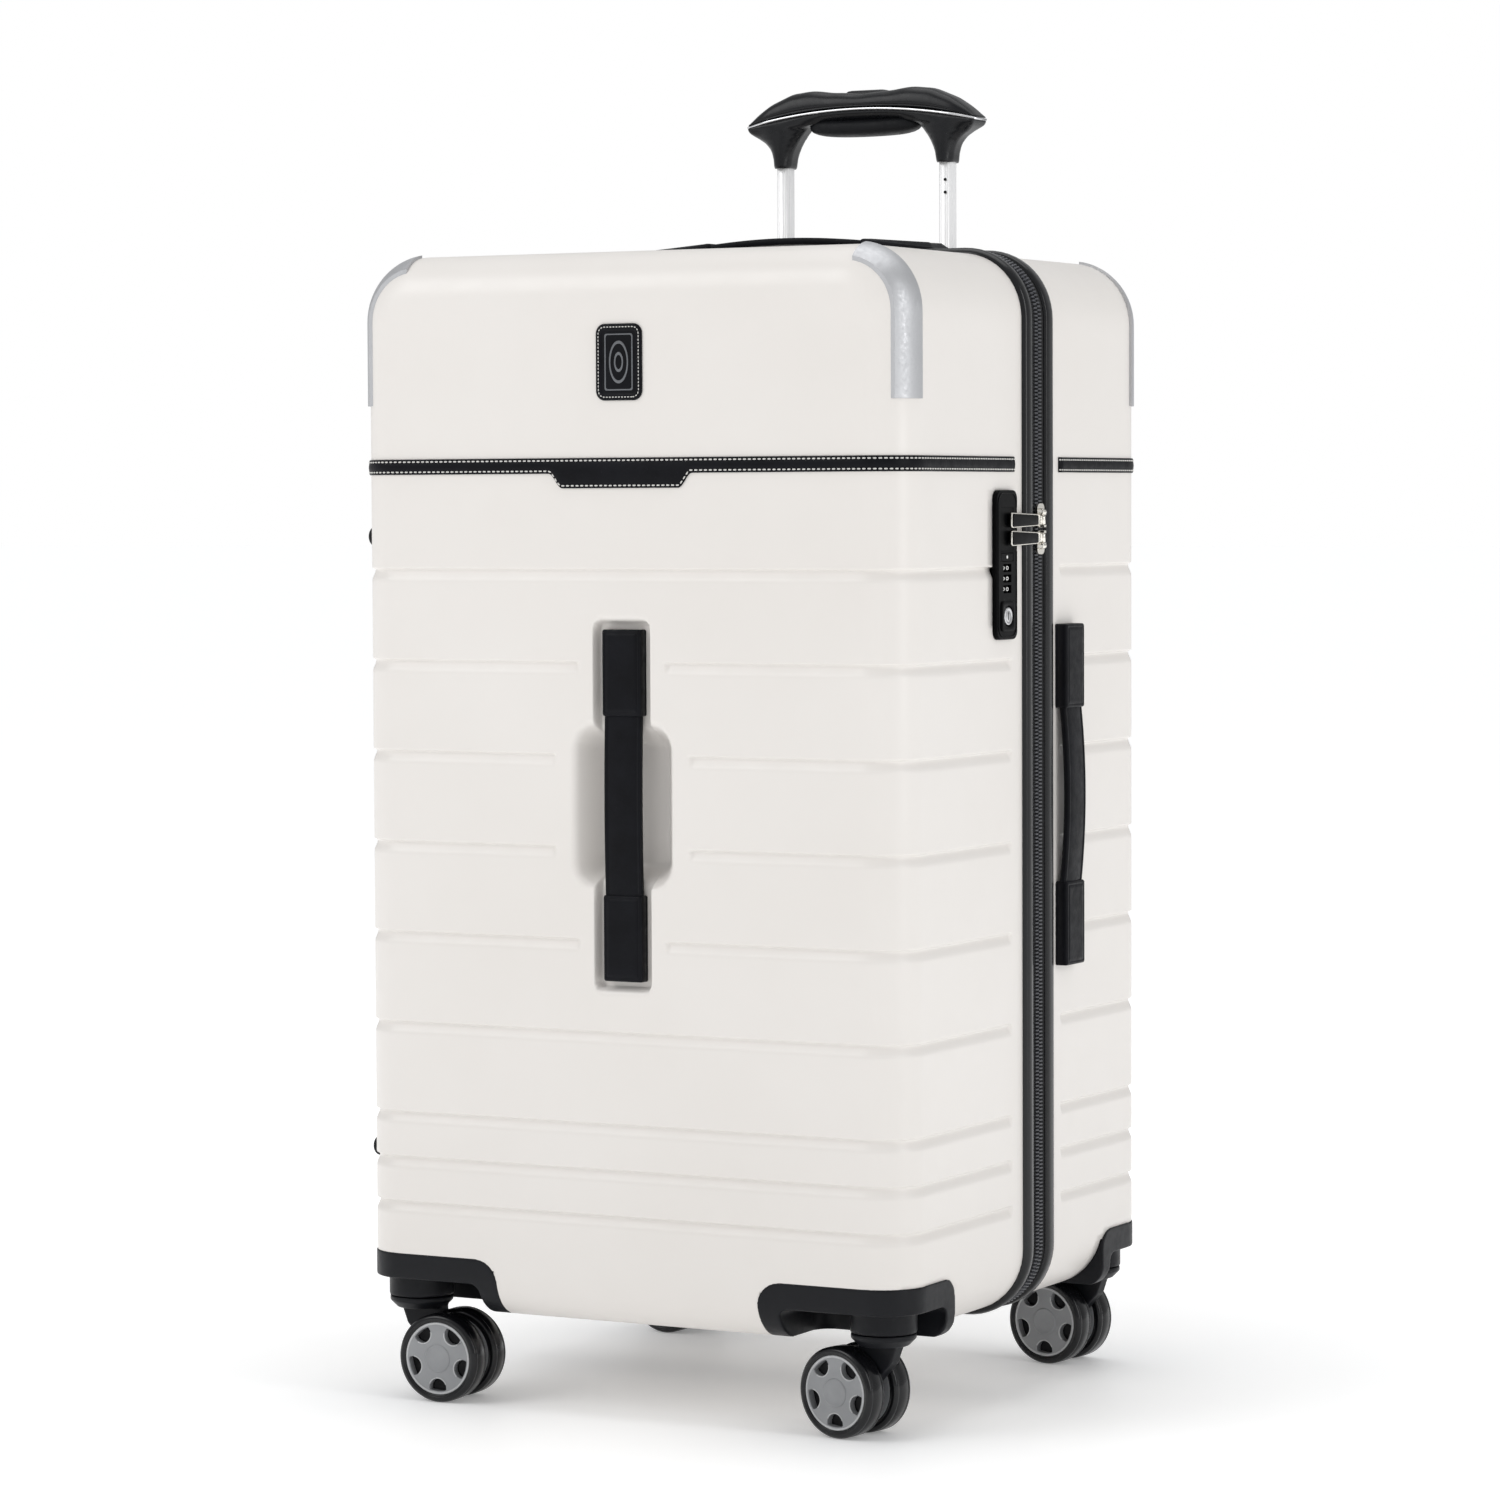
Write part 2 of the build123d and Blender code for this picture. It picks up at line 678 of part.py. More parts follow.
with BuildPart() as grip_top_cover:
    with BuildSketch(trolley_plane):
        with BuildLine():
            seam_arc(seam_t)
            Line((seam_half, seam_end + seam_t), (seam_half - 0.5, seam_end + 3.5))
            Spline((seam_half - 0.5, seam_end + 3.5), (72, 894.5), (40, 903.2), (0, 899.6), (-40, 903.2), (-72, 894.5),
                   (-seam_half + 0.5, seam_end + 3.5))
            Line((-seam_half + 0.5, seam_end + 3.5), (-seam_half, seam_end + seam_t))
        make_face()
    extrude(amount=13.5, both=True)
    fillet(grip_top_cover.edges().group_by(Axis.Z)[-1], 5)
    with BuildSketch(Plane.XY.offset(890.5)):
        with Locations((0, tube_y + 4)):
            RectangleRounded(34.6, 12.6, 3.3)
    extrude(amount=20, mode=Mode.SUBTRACT)
save(grip_top_cover, "grip_top_cover")

with BuildPart() as grip_button:
    with BuildSketch(Plane.XY.offset(893.8)):
        with Locations((0, tube_y + 4)):
            RectangleRounded(34, 12, 3)
    extrude(amount=902.6 - 893.8)
    fillet(grip_button.faces().sort_by(Axis.Z)[-1].edges(), 1)
save(grip_button, "grip_button")

with BuildPart() as grip_trim:
    with BuildSketch(trolley_plane):
        with BuildLine():
            seam_arc(0)
            Line((seam_half, seam_end), (seam_half, seam_end + seam_t))
            seam_arc(seam_t)
            Line((-seam_half, seam_end + seam_t), (-seam_half, seam_end))
        make_face()
    extrude(amount=13.8, both=True)
save(grip_trim, "grip_trim")

with BuildPart() as grip_bottom_cover:
    with BuildSketch(trolley_plane):
        with BuildLine():
            seam_arc(0)
            for sx in (-1, 1):
                Line((sx * seam_half, seam_end), (sx * (seam_half - 1.5), seam_end - 4))
                Spline((sx * (seam_half - 1.5), seam_end - 4), (sx * 78, 866), (sx * 71.5, leg_low),
                       tangents=[(-sx, -1), (0, -1)])
                Line((sx * 71.5, leg_low), (sx * 58.5, leg_low))
                Spline((sx * 58.5, leg_low), (sx * 54.5, 863), (sx * 43, 878), tangents=[(0, 1), (-sx, 1)])
            Line((-43, 878), (43, 878))
        make_face()
    extrude(amount=12, both=True)
    with BuildSketch(Plane.XY.offset(leg_low - 1)):
        with Locations((-tube_x, tube_y), (tube_x, tube_y)):
            RectangleRounded(*upper_tube, 3.5)
    extrude(amount=socket_top - leg_low + 1, mode=Mode.SUBTRACT)
save(grip_bottom_cover, "grip_bottom_cover")

with BuildPart() as grip_pad:
    with BuildSketch(trolley_plane):
        with BuildLine():
            Line((-42, 878), (42, 878))
            ThreePointArc((-42, 878), (0, 870.8), (42, 878))
        make_face()
    extrude(amount=11, both=True)
save(grip_pad, "grip_pad")

# --- lock, zip sliders and pullers ------------------------------------------------------------------------------

lock_plane = Plane.YZ
dial_zs = [dial_z + dial_pitch * step for step in (1, 0, -1)]
with BuildPart() as lock_body:
    with BuildSketch(Plane.YZ.offset(half_w)):
        with Locations((lock_y, lock_z)):
            RectangleRounded(lock_w, lock_h, 6)
    extrude(amount=lock_face - half_w)
    fillet(lock_body.faces().sort_by(Axis.X)[-1].edges(), 1.0)
    add(box_between((half_w - lock_deep, lock_y - lock_w / 2 + 2, lock_z - lock_h / 2 + 4),
                    (half_w, lock_y + lock_w / 2 - 2, lock_z + lock_h / 2 - 4)))
    # Shallow bed for the pullers, wells for the button and key plug, and a window for each dial.
    add(box_between((lock_face - 1.2, lock_y - 11, 575), (lock_face + 5, lock_y + 30, 604)), mode=Mode.SUBTRACT)
    add(box_between((lock_face - 8, lock_y - 9.3, lock_button_z - 2.9),
                    (lock_face + 5, lock_y + 9.3, lock_button_z + 2.9)), mode=Mode.SUBTRACT)
    for z in dial_zs:
        add(upright_disc(lock_face - 0.3 - dial_r, lock_y, z, dial_r + 0.4, dial_t + 0.6), mode=Mode.SUBTRACT)
        add(box_between((lock_face - dial_r, lock_y - 6, z - dial_t / 2 - 0.3),
                        (lock_face + 1, lock_y + 6, z + dial_t / 2 + 0.3)), mode=Mode.SUBTRACT)
    with BuildSketch(Plane.YZ.offset(lock_face + 1)):
        with Locations((lock_y, keyplug_z)):
            Circle(keyplug_r + fit_gap)
    extrude(amount=-13.2, mode=Mode.SUBTRACT)
save(lock_body, "lock_body")

with BuildPart() as lock_button:
    add(box_between((lock_face - 5, lock_y - 9, lock_button_z - 2.6), (lock_face - 0.1, lock_y + 9, lock_button_z + 2.6)))
    fillet(lock_button.faces().sort_by(Axis.X)[-1].edges(), 0.5)
save(lock_button, "lock_button")

for number, z in enumerate(dial_zs, start=1):
    with BuildPart() as dial:
        with BuildSketch(Plane.XY.offset(z - dial_t / 2)):
            with Locations((lock_face - 0.3 - dial_r, lock_y)):
                Circle(dial_r)
                with PolarLocations(dial_r, 10, start_angle=18):
                    Circle(0.7, mode=Mode.SUBTRACT)
        extrude(amount=dial_t)
    save(dial, f"lock_dial_{number}")

with BuildPart() as lock_key_plug:
    with BuildSketch(Plane.YZ.offset(lock_face - 11.8)):
        with Locations((lock_y, keyplug_z)):
            Circle(keyplug_r)
    extrude(amount=11.7)
    with BuildSketch(Plane.YZ.offset(lock_face - 0.1)):
        with Locations((lock_y, keyplug_z)):
            Rectangle(1.4, 6.5)
    extrude(amount=-6, mode=Mode.SUBTRACT)
save(lock_key_plug, "lock_key_plug")


def slider(z_pin, up):
    """A zip slider's top plate, its rear flange, and two lugs with the pin that its puller swings on."""
    z_low, z_high = (z_pin - 5, z_pin + 11) if up > 0 else (z_pin - 11, z_pin + 5)
    plate_x = half_w + coil_proud + 0.3
    with BuildPart() as body:
        with BuildSketch(Plane.YZ.offset(plate_x)):
            with Locations((split_y, (z_low + z_high) / 2)):
                RectangleRounded(11, z_high - z_low, 3.5)
        extrude(amount=1.6)
        add(box_between((half_w + 0.5, split_y + 4.2, z_low + 4), (plate_x, split_y + 5.4, z_high - 4)))
        for lug_z in (z_pin - 4.1, z_pin + 4.1):
            add(box_between((plate_x + 1.6, pull_pin_y - 1.6, lug_z - 0.8), (pull_pin_x + 1.6, pull_pin_y + 1.6, lug_z + 0.8)))
        add(upright_disc(pull_pin_x, pull_pin_y, z_pin, 0.8, 8.2))
    return body


def puller(z_pin):
    """A zip puller: a flat tag that widens to its tip, with the eye that turns on the slider's pin."""
    y_tip = pull_pin_y - pull_len
    with BuildPart() as tag:
        with BuildSketch(Plane.YZ.offset(lock_face + 0.5)):
            with BuildLine():
                Polyline((pull_pin_y - 2.4, z_pin - 3), (pull_pin_y - 6, z_pin - 4.2), (y_tip + 1.5, z_pin - 5),
                         (y_tip, z_pin - 3.5), (y_tip, z_pin + 3.5), (y_tip + 1.5, z_pin + 5),
                         (pull_pin_y - 6, z_pin + 4.2), (pull_pin_y - 2.4, z_pin + 3), close=True)
            make_face()
        extrude(amount=pull_t)
        add(box_between((pull_pin_x - 1.4, pull_pin_y - 3, z_pin - 3), (pull_pin_x + 0.3, pull_pin_y - 1, z_pin + 3)))
        add(upright_disc(pull_pin_x, pull_pin_y, z_pin, 1.6, 6))
        add(upright_disc(pull_pin_x, pull_pin_y, z_pin, 1.1, 8), mode=Mode.SUBTRACT)
    return tag


for side_name, z in pull_zs.items():
    save(slider(z, 1 if side_name == "upper" else -1), f"zip_slider_{side_name}")
    save(puller(z), f"zip_puller_{side_name}")

# --- inside -----------------------------------------------------------------------------------------------------

lining_t = 1.2


def bumps(front, grow):
    """What the lining has to clear in one half, grown by grow: caster housings, handle pocket, lock or pull handle."""
    side = -1 if front else 1
    with BuildPart() as lumps:
        for sx in (-1, 1):
            x_edges = sorted((sx * (half_w - housing_len_x - 2 - grow), sx * case_w))
            y_edges = sorted((side * (half_d - housing_len_y - 2 - grow), side * case_d))
            add(box_between((x_edges[0], y_edges[0], 0), (x_edges[1], y_edges[1], housing_top + 2 + grow)))
        if front:
            add(box_between((-pocket_w / 2 - 4 - grow, -case_d, handle_z - recess_len / 2 - 6 - grow),
                            (pocket_w / 2 + 4 + grow, -half_d + pocket_deep + 4 + grow,
                             handle_z + recess_len / 2 + 6 + grow)))
            add(box_between((half_w - lock_deep - 2 - grow, lock_y - lock_w / 2 - 1 - grow,
                             lock_z - lock_h / 2 - 1 - grow),
                            (case_w, lock_y + lock_w / 2 + 1 + grow, lock_z + lock_h / 2 + 1 + grow)))
        else:
            add(box_between((-tube_x - 26 - grow, tube_y - 16 - grow, 0), (tube_x + 26 + grow, case_d, case_top)))
            add(box_between((-cup_w / 2 - 3 - grow, tube_y - cup_d / 2 - 3 - grow, cup_floor - 6 - grow),
                            (cup_w / 2 + 3 + grow, case_d, case_top)))
    return lumps.part


def lining(front):
    """The fabric lining of one half, an open tray that steps round the fittings."""
    gap = rim_inset + 0.6
    side = -1 if front else 1
    y_open = front_rim_y + rim_w - 1 if front else rear_rim_y - rim_w + 1
    y_end = side * (half_d - gap)
    with BuildPart() as hollow:
        add(case_block(-gap - lining_t, y_open - side * 5, y_end - side * lining_t, edge_r - gap - lining_t))
        add(bumps(front, lining_t), mode=Mode.SUBTRACT)
    with BuildPart() as cloth:
        add(case_block(-gap, y_open, y_end, edge_r - gap))
        add(bumps(front, 0), mode=Mode.SUBTRACT)
        add(hollow.part, mode=Mode.SUBTRACT)
    return cloth


save(lining(True), "front_lining")
save(lining(False), "rear_lining")


def packing_straps(front):
    """Crossed webbing straps with a centre buckle, across the open side of one half."""
    gap = rim_inset + 0.6 + lining_t + 0.1
    y_mid = -7.0 if front else 27.0
    with BuildPart() as straps:
        with BuildSketch(xz_plane(y_mid)):
            with Locations((0, case_mid)):
                Rectangle(900, 25, rotation=56)
                Rectangle(900, 25, rotation=-56)
        extrude(amount=0.6, both=True)
        with BuildSketch(xz_plane(y_mid)):
            with Locations((0, case_mid)):
                RectangleRounded(46, 66, 8)
        extrude(amount=4, both=True)
        add(case_block(-gap, 80 if front else -80, -120 if front else 120, 0), mode=Mode.INTERSECT)
    return straps


save(packing_straps(True), "front_packing_straps")
save(packing_straps(False), "rear_packing_straps")
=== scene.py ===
from math import cos, hypot, pi, radians, sin, sqrt

import bmesh
import bpy
from mathutils import Matrix, Vector, noise


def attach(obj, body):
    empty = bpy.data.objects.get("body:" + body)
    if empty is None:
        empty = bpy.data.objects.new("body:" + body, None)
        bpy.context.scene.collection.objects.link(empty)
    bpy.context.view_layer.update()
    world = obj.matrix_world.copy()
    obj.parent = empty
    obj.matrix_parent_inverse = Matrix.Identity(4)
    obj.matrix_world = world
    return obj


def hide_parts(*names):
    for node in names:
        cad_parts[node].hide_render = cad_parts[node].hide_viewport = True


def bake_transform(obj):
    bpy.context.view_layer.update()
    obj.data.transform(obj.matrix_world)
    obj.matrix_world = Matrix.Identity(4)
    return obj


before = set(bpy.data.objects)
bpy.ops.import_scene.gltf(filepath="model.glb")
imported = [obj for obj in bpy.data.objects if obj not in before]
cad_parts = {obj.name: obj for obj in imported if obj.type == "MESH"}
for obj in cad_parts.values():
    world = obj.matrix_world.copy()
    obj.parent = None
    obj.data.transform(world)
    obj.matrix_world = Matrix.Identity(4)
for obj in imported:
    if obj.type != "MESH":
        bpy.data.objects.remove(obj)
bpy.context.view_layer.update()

# All lengths here are in millimetres, in the CAD frame: +Z up, +X to the lock side, -Y to the front.
MM = 0.001
HALF_W, HALF_D = 206.5, 190.7
LOW_Z, TOP_Z = 62.0, 774.0
MID_Z = (LOW_Z + TOP_Z) / 2
HALF_H = (TOP_Z - LOW_Z) / 2
CORNER_R, EDGE_R = 44.0, 30.0
WALL = 2.5
SPLIT_Y, BAND_HALF, RIM_W = 10.0, 22.5, 12.0
HINGE_X, HINGE_LOW, HINGE_HIGH = -211.5, 112.0, 724.0
HOUSING_W, HOUSING_D, HOUSING_TOP = 108, 74, 102
GROOVE_ZS = [563.0 - 61.05 * step for step in (0, 1, 2, 3, 4, 5, 6, 6.5, 7)]
GROOVE_DEPTH = 2.3
GROOVE_STOP = {"front": 27.4, "rear": 47.3}
BELT_LOW, BELT_HIGH = 627.5, 637.7
HANDLE_Y, HANDLE_Z = 54.5, 409.0
LOCK_Y, LOCK_Z = -42.2, 566.0
DIAL_X, DIAL_ZS = 201.7, (564.0, 557.0, 550.0)
GRIP_Y, TUBE_X = 166.0, 65.0
CORNERS = {
    "front_left": (-1, -1, 2.0),
    "front_right": (1, -1, 168.0),
    "rear_left": (-1, 1, -6.0),
    "rear_right": (1, 1, 172.0),
}


# --- small helpers ---


def clamp(value, low=0.0, high=1.0):
    return max(low, min(high, value))


def smooth(value):
    """0 to 1 with soft ends."""
    t = clamp(value)
    return t * t * (3 - 2 * t)


def spread(low, high, step):
    """Evenly spaced values from low to high, no further apart than step."""
    count = max(1, int((high - low) / step + 0.999))
    return [low + (high - low) * i / count for i in range(count + 1)]


def squared(value, power):
    """A sine or cosine pressed outwards, so that a round turns squarer; it keeps its sign."""
    return abs(value) ** power * (1 if value > 0 else -1)


def merged(values, gap):
    """Sorted values without near repeats."""
    kept = []
    for value in sorted(values):
        if not kept or value - kept[-1] > gap:
            kept.append(value)
    return kept


def linked(name, data):
    """A new object in the scene."""
    item = bpy.data.objects.new(name, data)
    bpy.context.collection.objects.link(item)
    return item


def dressed(item, body, hides):
    """Gives a piece its body and hides the CAD nodes that it stands for."""
    if body:
        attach(item, body)
    if hides:
        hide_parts(*hides)
    return item


def piece(name, verts, faces, body, material, hides=(), flat=False):
    """A mesh piece from points in millimetres; it rides on a body and may stand for CAD nodes."""
    mesh = bpy.data.meshes.new(name)
    mesh.from_pydata([(x * MM, y * MM, z * MM) for x, y, z in verts], [], faces)
    mesh.update()
    if not flat:
        mesh.shade_smooth()
    mesh.materials.append(material)
    return dressed(linked(name, mesh), body, hides)


def face_out(item):
    """Turns a closed mesh's faces outwards."""
    work = bmesh.new()
    work.from_mesh(item.data)
    bmesh.ops.recalc_face_normals(work, faces=work.faces)
    work.to_mesh(item.data)
    work.free()
    return item


def bevel(item, width, segments):
    """Rounds every edge sharper than 30 degrees."""
    step = item.modifiers.new("Bevel", "BEVEL")
    step.width = width * MM
    step.segments = segments
    step.limit_method = "ANGLE"
    step.angle_limit = radians(30)
    return item


def tube_faces(rings, count, loop=False):
    """Faces between successive rings of count points each, closed by two caps or looped back to the first."""
    faces = []
    for i in range(rings if loop else rings - 1):
        a, b = i * count, ((i + 1) % rings) * count
        for j in range(count):
            k = (j + 1) % count
            faces.append((a + j, a + k, b + k, b + j))
    if not loop:
        faces.append(tuple(reversed(range(count))))
        faces.append(tuple(range((rings - 1) * count, rings * count)))
    return faces


# --- materials ---


class Shader:
    """A Principled material with its noise, bump and colour nodes."""

    def __init__(self, name, color, rough, metal=0.0):
        self.mat = bpy.data.materials.new(name)
        self.mat.use_nodes = True
        self.nodes, self.links = self.mat.node_tree.nodes, self.mat.node_tree.links
        self.bsdf = self.nodes["Principled BSDF"]
        self.bsdf.inputs["Base Color"].default_value = (*color, 1)
        self.bsdf.inputs["Roughness"].default_value = rough
        self.bsdf.inputs["Metallic"].default_value = metal
        self.color = color
        self.coords = self.nodes.new("ShaderNodeTexCoord").outputs["Object"]
        self.height = None

    def noise(self, scale, detail=4.0, rough=0.55, stretch=None):
        node = self.nodes.new("ShaderNodeTexNoise")
        node.inputs["Scale"].default_value = scale
        node.inputs["Detail"].default_value = detail
        node.inputs["Roughness"].default_value = rough
        self.links.new(self.placed(stretch), node.inputs["Vector"])
        return node.outputs["Fac"]

    def cells(self, scale, feature="F1"):
        node = self.nodes.new("ShaderNodeTexVoronoi")
        node.feature = feature
        node.inputs["Scale"].default_value = scale
        self.links.new(self.coords, node.inputs["Vector"])
        return node.outputs["Distance"]

    def wave(self, scale, axis):
        node = self.nodes.new("ShaderNodeTexWave")
        node.bands_direction = axis
        node.inputs["Scale"].default_value = scale
        self.links.new(self.coords, node.inputs["Vector"])
        return node.outputs["Fac"]

    def placed(self, stretch):
        if stretch is None:
            return self.coords
        node = self.nodes.new("ShaderNodeMapping")
        node.inputs["Scale"].default_value = stretch
        self.links.new(self.coords, node.inputs["Vector"])
        return node.outputs["Vector"]

    def ramp(self, source, low, high, a, b):
        """Source between low and high, mapped to a to b."""
        node = self.nodes.new("ShaderNodeMapRange")
        for socket, value in zip(("From Min", "From Max", "To Min", "To Max"), (low, high, a, b)):
            node.inputs[socket].default_value = value
        self.links.new(source, node.inputs["Value"])
        return node.outputs["Result"]

    def math(self, operation, a, b):
        node = self.nodes.new("ShaderNodeMath")
        node.operation = operation
        for socket, value in zip(node.inputs, (a, b)):
            if isinstance(value, (int, float)):
                socket.default_value = value
            else:
                self.links.new(value, socket)
        return node.outputs["Value"]

    def tint(self, source, other):
        """Mixes the base colour towards another by the source."""
        node = self.nodes.new("ShaderNodeMix")
        node.data_type = "RGBA"
        node.inputs["A"].default_value = (*self.color, 1)
        node.inputs["B"].default_value = (*other, 1)
        self.links.new(source, node.inputs["Factor"])
        self.links.new(node.outputs["Result"], self.bsdf.inputs["Base Color"])
        return self

    def rough(self, source, low, high):
        self.links.new(self.ramp(source, 0.3, 0.7, low, high), self.bsdf.inputs["Roughness"])
        return self

    def bump(self, source, depth, strength=1.0):
        """Adds a height, depth in millimetres, to the surface."""
        node = self.nodes.new("ShaderNodeBump")
        node.inputs["Distance"].default_value = depth * MM
        node.inputs["Strength"].default_value = strength
        self.links.new(source, node.inputs["Height"])
        if self.height:
            self.links.new(self.height, node.inputs["Normal"])
        self.height = node.outputs["Normal"]
        self.links.new(self.height, self.bsdf.inputs["Normal"])
        return self

    def set(self, **values):
        for name, value in values.items():
            self.bsdf.inputs[name.replace("_", " ")].default_value = value
        return self


def shell_material():
    s = Shader("ivory_polycarbonate", (0.800, 0.768, 0.735), 0.38)
    cloud = s.noise(6.0, 3.0)
    s.tint(s.ramp(cloud, 0.35, 0.7, 0.0, 1.0), (0.778, 0.744, 0.708))
    s.rough(s.noise(60.0, 5.0), 0.30, 0.42)
    s.bump(s.noise(900.0, 3.0, 0.6), 0.02, 0.35)
    s.bump(s.noise(9.0, 1.0), 0.5, 0.12)
    return s.set(Coat_Weight=0.12, Coat_Roughness=0.25).mat


def leather_material():
    color = (0.0030, 0.0032, 0.0045)
    s = Shader("black_leather", color, 0.42)
    pores = s.cells(620.0)
    creases = s.cells(260.0, "DISTANCE_TO_EDGE")
    s.tint(s.ramp(s.noise(45.0), 0.3, 0.75, 0.0, 1.0), tuple(c * 2.1 for c in color))
    s.rough(s.noise(150.0), 0.34, 0.52)
    s.bump(s.ramp(creases, 0.0, 0.10, 0.0, 1.0), 0.06, 0.55)
    s.bump(pores, 0.05, 0.4)
    return s.set(Specular_IOR_Level=0.11).mat


def plastic_material(name, color, rough, grain=0.35, scale=1500.0, coat=0.0, gloss=0.22):
    s = Shader(name, color, rough)
    s.tint(s.ramp(s.noise(30.0), 0.35, 0.75, 0.0, 0.8), tuple(c * 1.35 for c in color))
    s.rough(s.noise(220.0, 6.0), rough * 0.85, rough * 1.15)
    s.bump(s.noise(scale, 2.0, 0.6), 0.03, grain)
    return s.set(Coat_Weight=coat, Coat_Roughness=0.12, Specular_IOR_Level=gloss).mat


def metal_material(name, color, rough, stretch=(1, 1, 1), brushed=0.0, metal=1.0):
    s = Shader(name, color, rough, metal)
    streaks = s.noise(400.0, 5.0, 0.6, stretch)
    s.rough(streaks, rough * 0.75, rough * 1.3)
    s.tint(s.ramp(s.noise(25.0), 0.35, 0.7, 0.0, 0.6), tuple(c * 0.93 for c in color))
    s.bump(streaks, 0.01, brushed)
    return s.mat


def weave_material(name, color, scale, depth=0.12, other=None):
    s = Shader(name, color, 0.85)
    s.set(Specular_IOR_Level=0.2)
    weave = s.math("MULTIPLY", s.wave(scale, "X"), s.wave(scale, "Z"))
    cross = s.math("ADD", weave, s.wave(scale, "Y"))
    s.tint(s.ramp(cross, 0.2, 1.4, 0.0, 1.0), other or tuple(c * 1.9 for c in color))
    s.rough(s.noise(80.0), 0.78, 0.92)
    s.bump(cross, depth, 0.6)
    return s.set(Sheen_Weight=0.06, Sheen_Roughness=0.5).mat


def nickel_material():
    color = (0.80, 0.77, 0.71)
    s = Shader("nickel_plate", color, 0.16, 1.0)
    s.rough(s.noise(120.0, 4.0), 0.10, 0.24)
    s.tint(s.ramp(s.noise(40.0), 0.4, 0.7, 0.0, 0.5), tuple(c * 0.9 for c in color))
    s.bump(s.noise(700.0, 2.0), 0.01, 0.2)
    return s.mat


SHELL = shell_material()
LEATHER = leather_material()
STITCH = weave_material("white_thread", (0.62, 0.61, 0.58), 2500.0, 0.05, (0.8, 0.79, 0.76))
CHROME = metal_material("polished_chrome", (0.74, 0.745, 0.76), 0.12)
GUARD = metal_material("brushed_chrome", (0.53, 0.535, 0.55), 0.46, metal=0.8)
NICKEL = nickel_material()
RIM = plastic_material("gloss_black_rim", (0.0052, 0.0056, 0.0066), 0.22, 0.15, 900.0, 0.12, 0.3)
TAPE = weave_material("zip_tape_weave", (0.003, 0.003, 0.0035), 500.0)
# The coil is black nylon; its grey colour, far lighter than the tape, is a painted glint so that the teeth
# show.
COIL = plastic_material("zip_coil_painted_glint", (0.070, 0.072, 0.080), 0.32, gloss=0.5)
SATIN = plastic_material("satin_black_plastic", (0.0085, 0.009, 0.0108), 0.40, 0.5, gloss=0.16)
LOCK = plastic_material("lock_black_plastic", (0.0015, 0.0016, 0.002), 0.34, 0.3, 900.0, gloss=0.05)
GRIP = plastic_material("gloss_black_plastic", (0.0045, 0.005, 0.0065), 0.30, 0.2, gloss=0.3)
SOFT = plastic_material("soft_black_rubber", (0.006, 0.0065, 0.008), 0.55, 0.9, 1100.0, gloss=0.18)
TUBE = metal_material("anodised_aluminium", (0.985, 0.985, 0.99), 0.28, (1, 1, 0.02), 0.25, 0.2)
STEEL = metal_material("zinc_steel", (0.62, 0.62, 0.63), 0.34, (1, 1, 0.2), 0.3)
HUB = plastic_material("grey_hub_plastic", (0.235, 0.240, 0.248), 0.34, 0.35, 1200.0, 0.15, 0.5)
HUB_EDGE = plastic_material("pale_hub_edge", (0.42, 0.425, 0.43), 0.28, 0.2, 1200.0, 0.2, 0.5)
TYRE = plastic_material("polyurethane_tyre", (0.0048, 0.005, 0.006), 0.24, 0.2, 700.0, 0.1, 0.3)
LINING = weave_material("grey_lining", (0.15, 0.15, 0.16), 130.0, 0.15, (0.185, 0.185, 0.195))
WEBBING = weave_material("black_webbing", (0.012, 0.012, 0.014), 220.0, 0.2)
MARK = plastic_material("white_print", (0.75, 0.75, 0.73), 0.5)
EMBOSS = plastic_material("grey_foil", (0.13, 0.135, 0.145), 0.40, 0.5, 900.0)
# A near-black: painted shade in the key slot and the hub pockets, and the plain colour of the tube rivets.
BLACK_AND_SHADE = plastic_material("black_rivets_and_painted_shade", (0.004, 0.004, 0.005), 0.5)

# The material of each CAD node whose name holds the key; the first key that fits counts.
NODE_MATERIALS = {
    "lining": LINING, "packing_straps": WEBBING, "screws": STEEL, "side_feet": SOFT,
    "trolley_outer": TUBE, "trolley_middle": TUBE, "trolley_upper": TUBE, "trolley_cup": SATIN,
    "trolley_foot": SATIN, "gusset": TAPE, "rim": RIM, "zip_tape": TAPE, "shell": SHELL,
    "belt": LEATHER, "badge": LEATHER, "guards": CHROME, "handle_caps": LEATHER,
    "handle_grip": LEATHER, "housings": SATIN, "fork": SATIN, "hubs": HUB, "tyres": TYRE,
    "grip_trim": CHROME, "grip_pad": SOFT, "grip_": GRIP, "lock_key": STEEL, "lock_": LOCK,
    "slider": NICKEL, "puller": NICKEL,
}
for node_name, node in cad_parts.items():
    material = next(m for key, m in NODE_MATERIALS.items() if key in node_name)
    for index in range(len(node.material_slots)):
        node.material_slots[index].material = material


# --- the case's surface ---

FLAT_W, FLAT_H = HALF_W - EDGE_R, HALF_H - EDGE_R
FLAT_R = CORNER_R - EDGE_R
ARC_STEPS = [FLAT_R * i / 6 for i in range(1, 7)]


def rounded(x, z):
    """A point of the flat face's grid, with the face's corners rounded."""
    u = (abs(x) - (FLAT_W - FLAT_R)) / FLAT_R
    v = (abs(z) - (FLAT_H - FLAT_R)) / FLAT_R
    if u <= 0 or v <= 0:
        return x, z
    new_x = FLAT_W - FLAT_R + FLAT_R * u * sqrt(1 - v * v / 2)
    new_z = FLAT_H - FLAT_R + FLAT_R * v * sqrt(1 - u * u / 2)
    return (new_x if x > 0 else -new_x), (new_z if z > 0 else -new_z)


def outward(x, z):
    """The outline's outward direction at a boundary point of the flat face."""
    dx, dz = abs(x) - (FLAT_W - FLAT_R), abs(z) - (FLAT_H - FLAT_R)
    if dx > 0.001 and dz > 0.001:
        size = hypot(dx, dz)
        nx, nz = dx / size, dz / size
    elif dx > dz:
        nx, nz = 1.0, 0.0
    else:
        nx, nz = 0.0, 1.0
    return (nx if x > 0 else -nx), (nz if z > 0 else -nz)


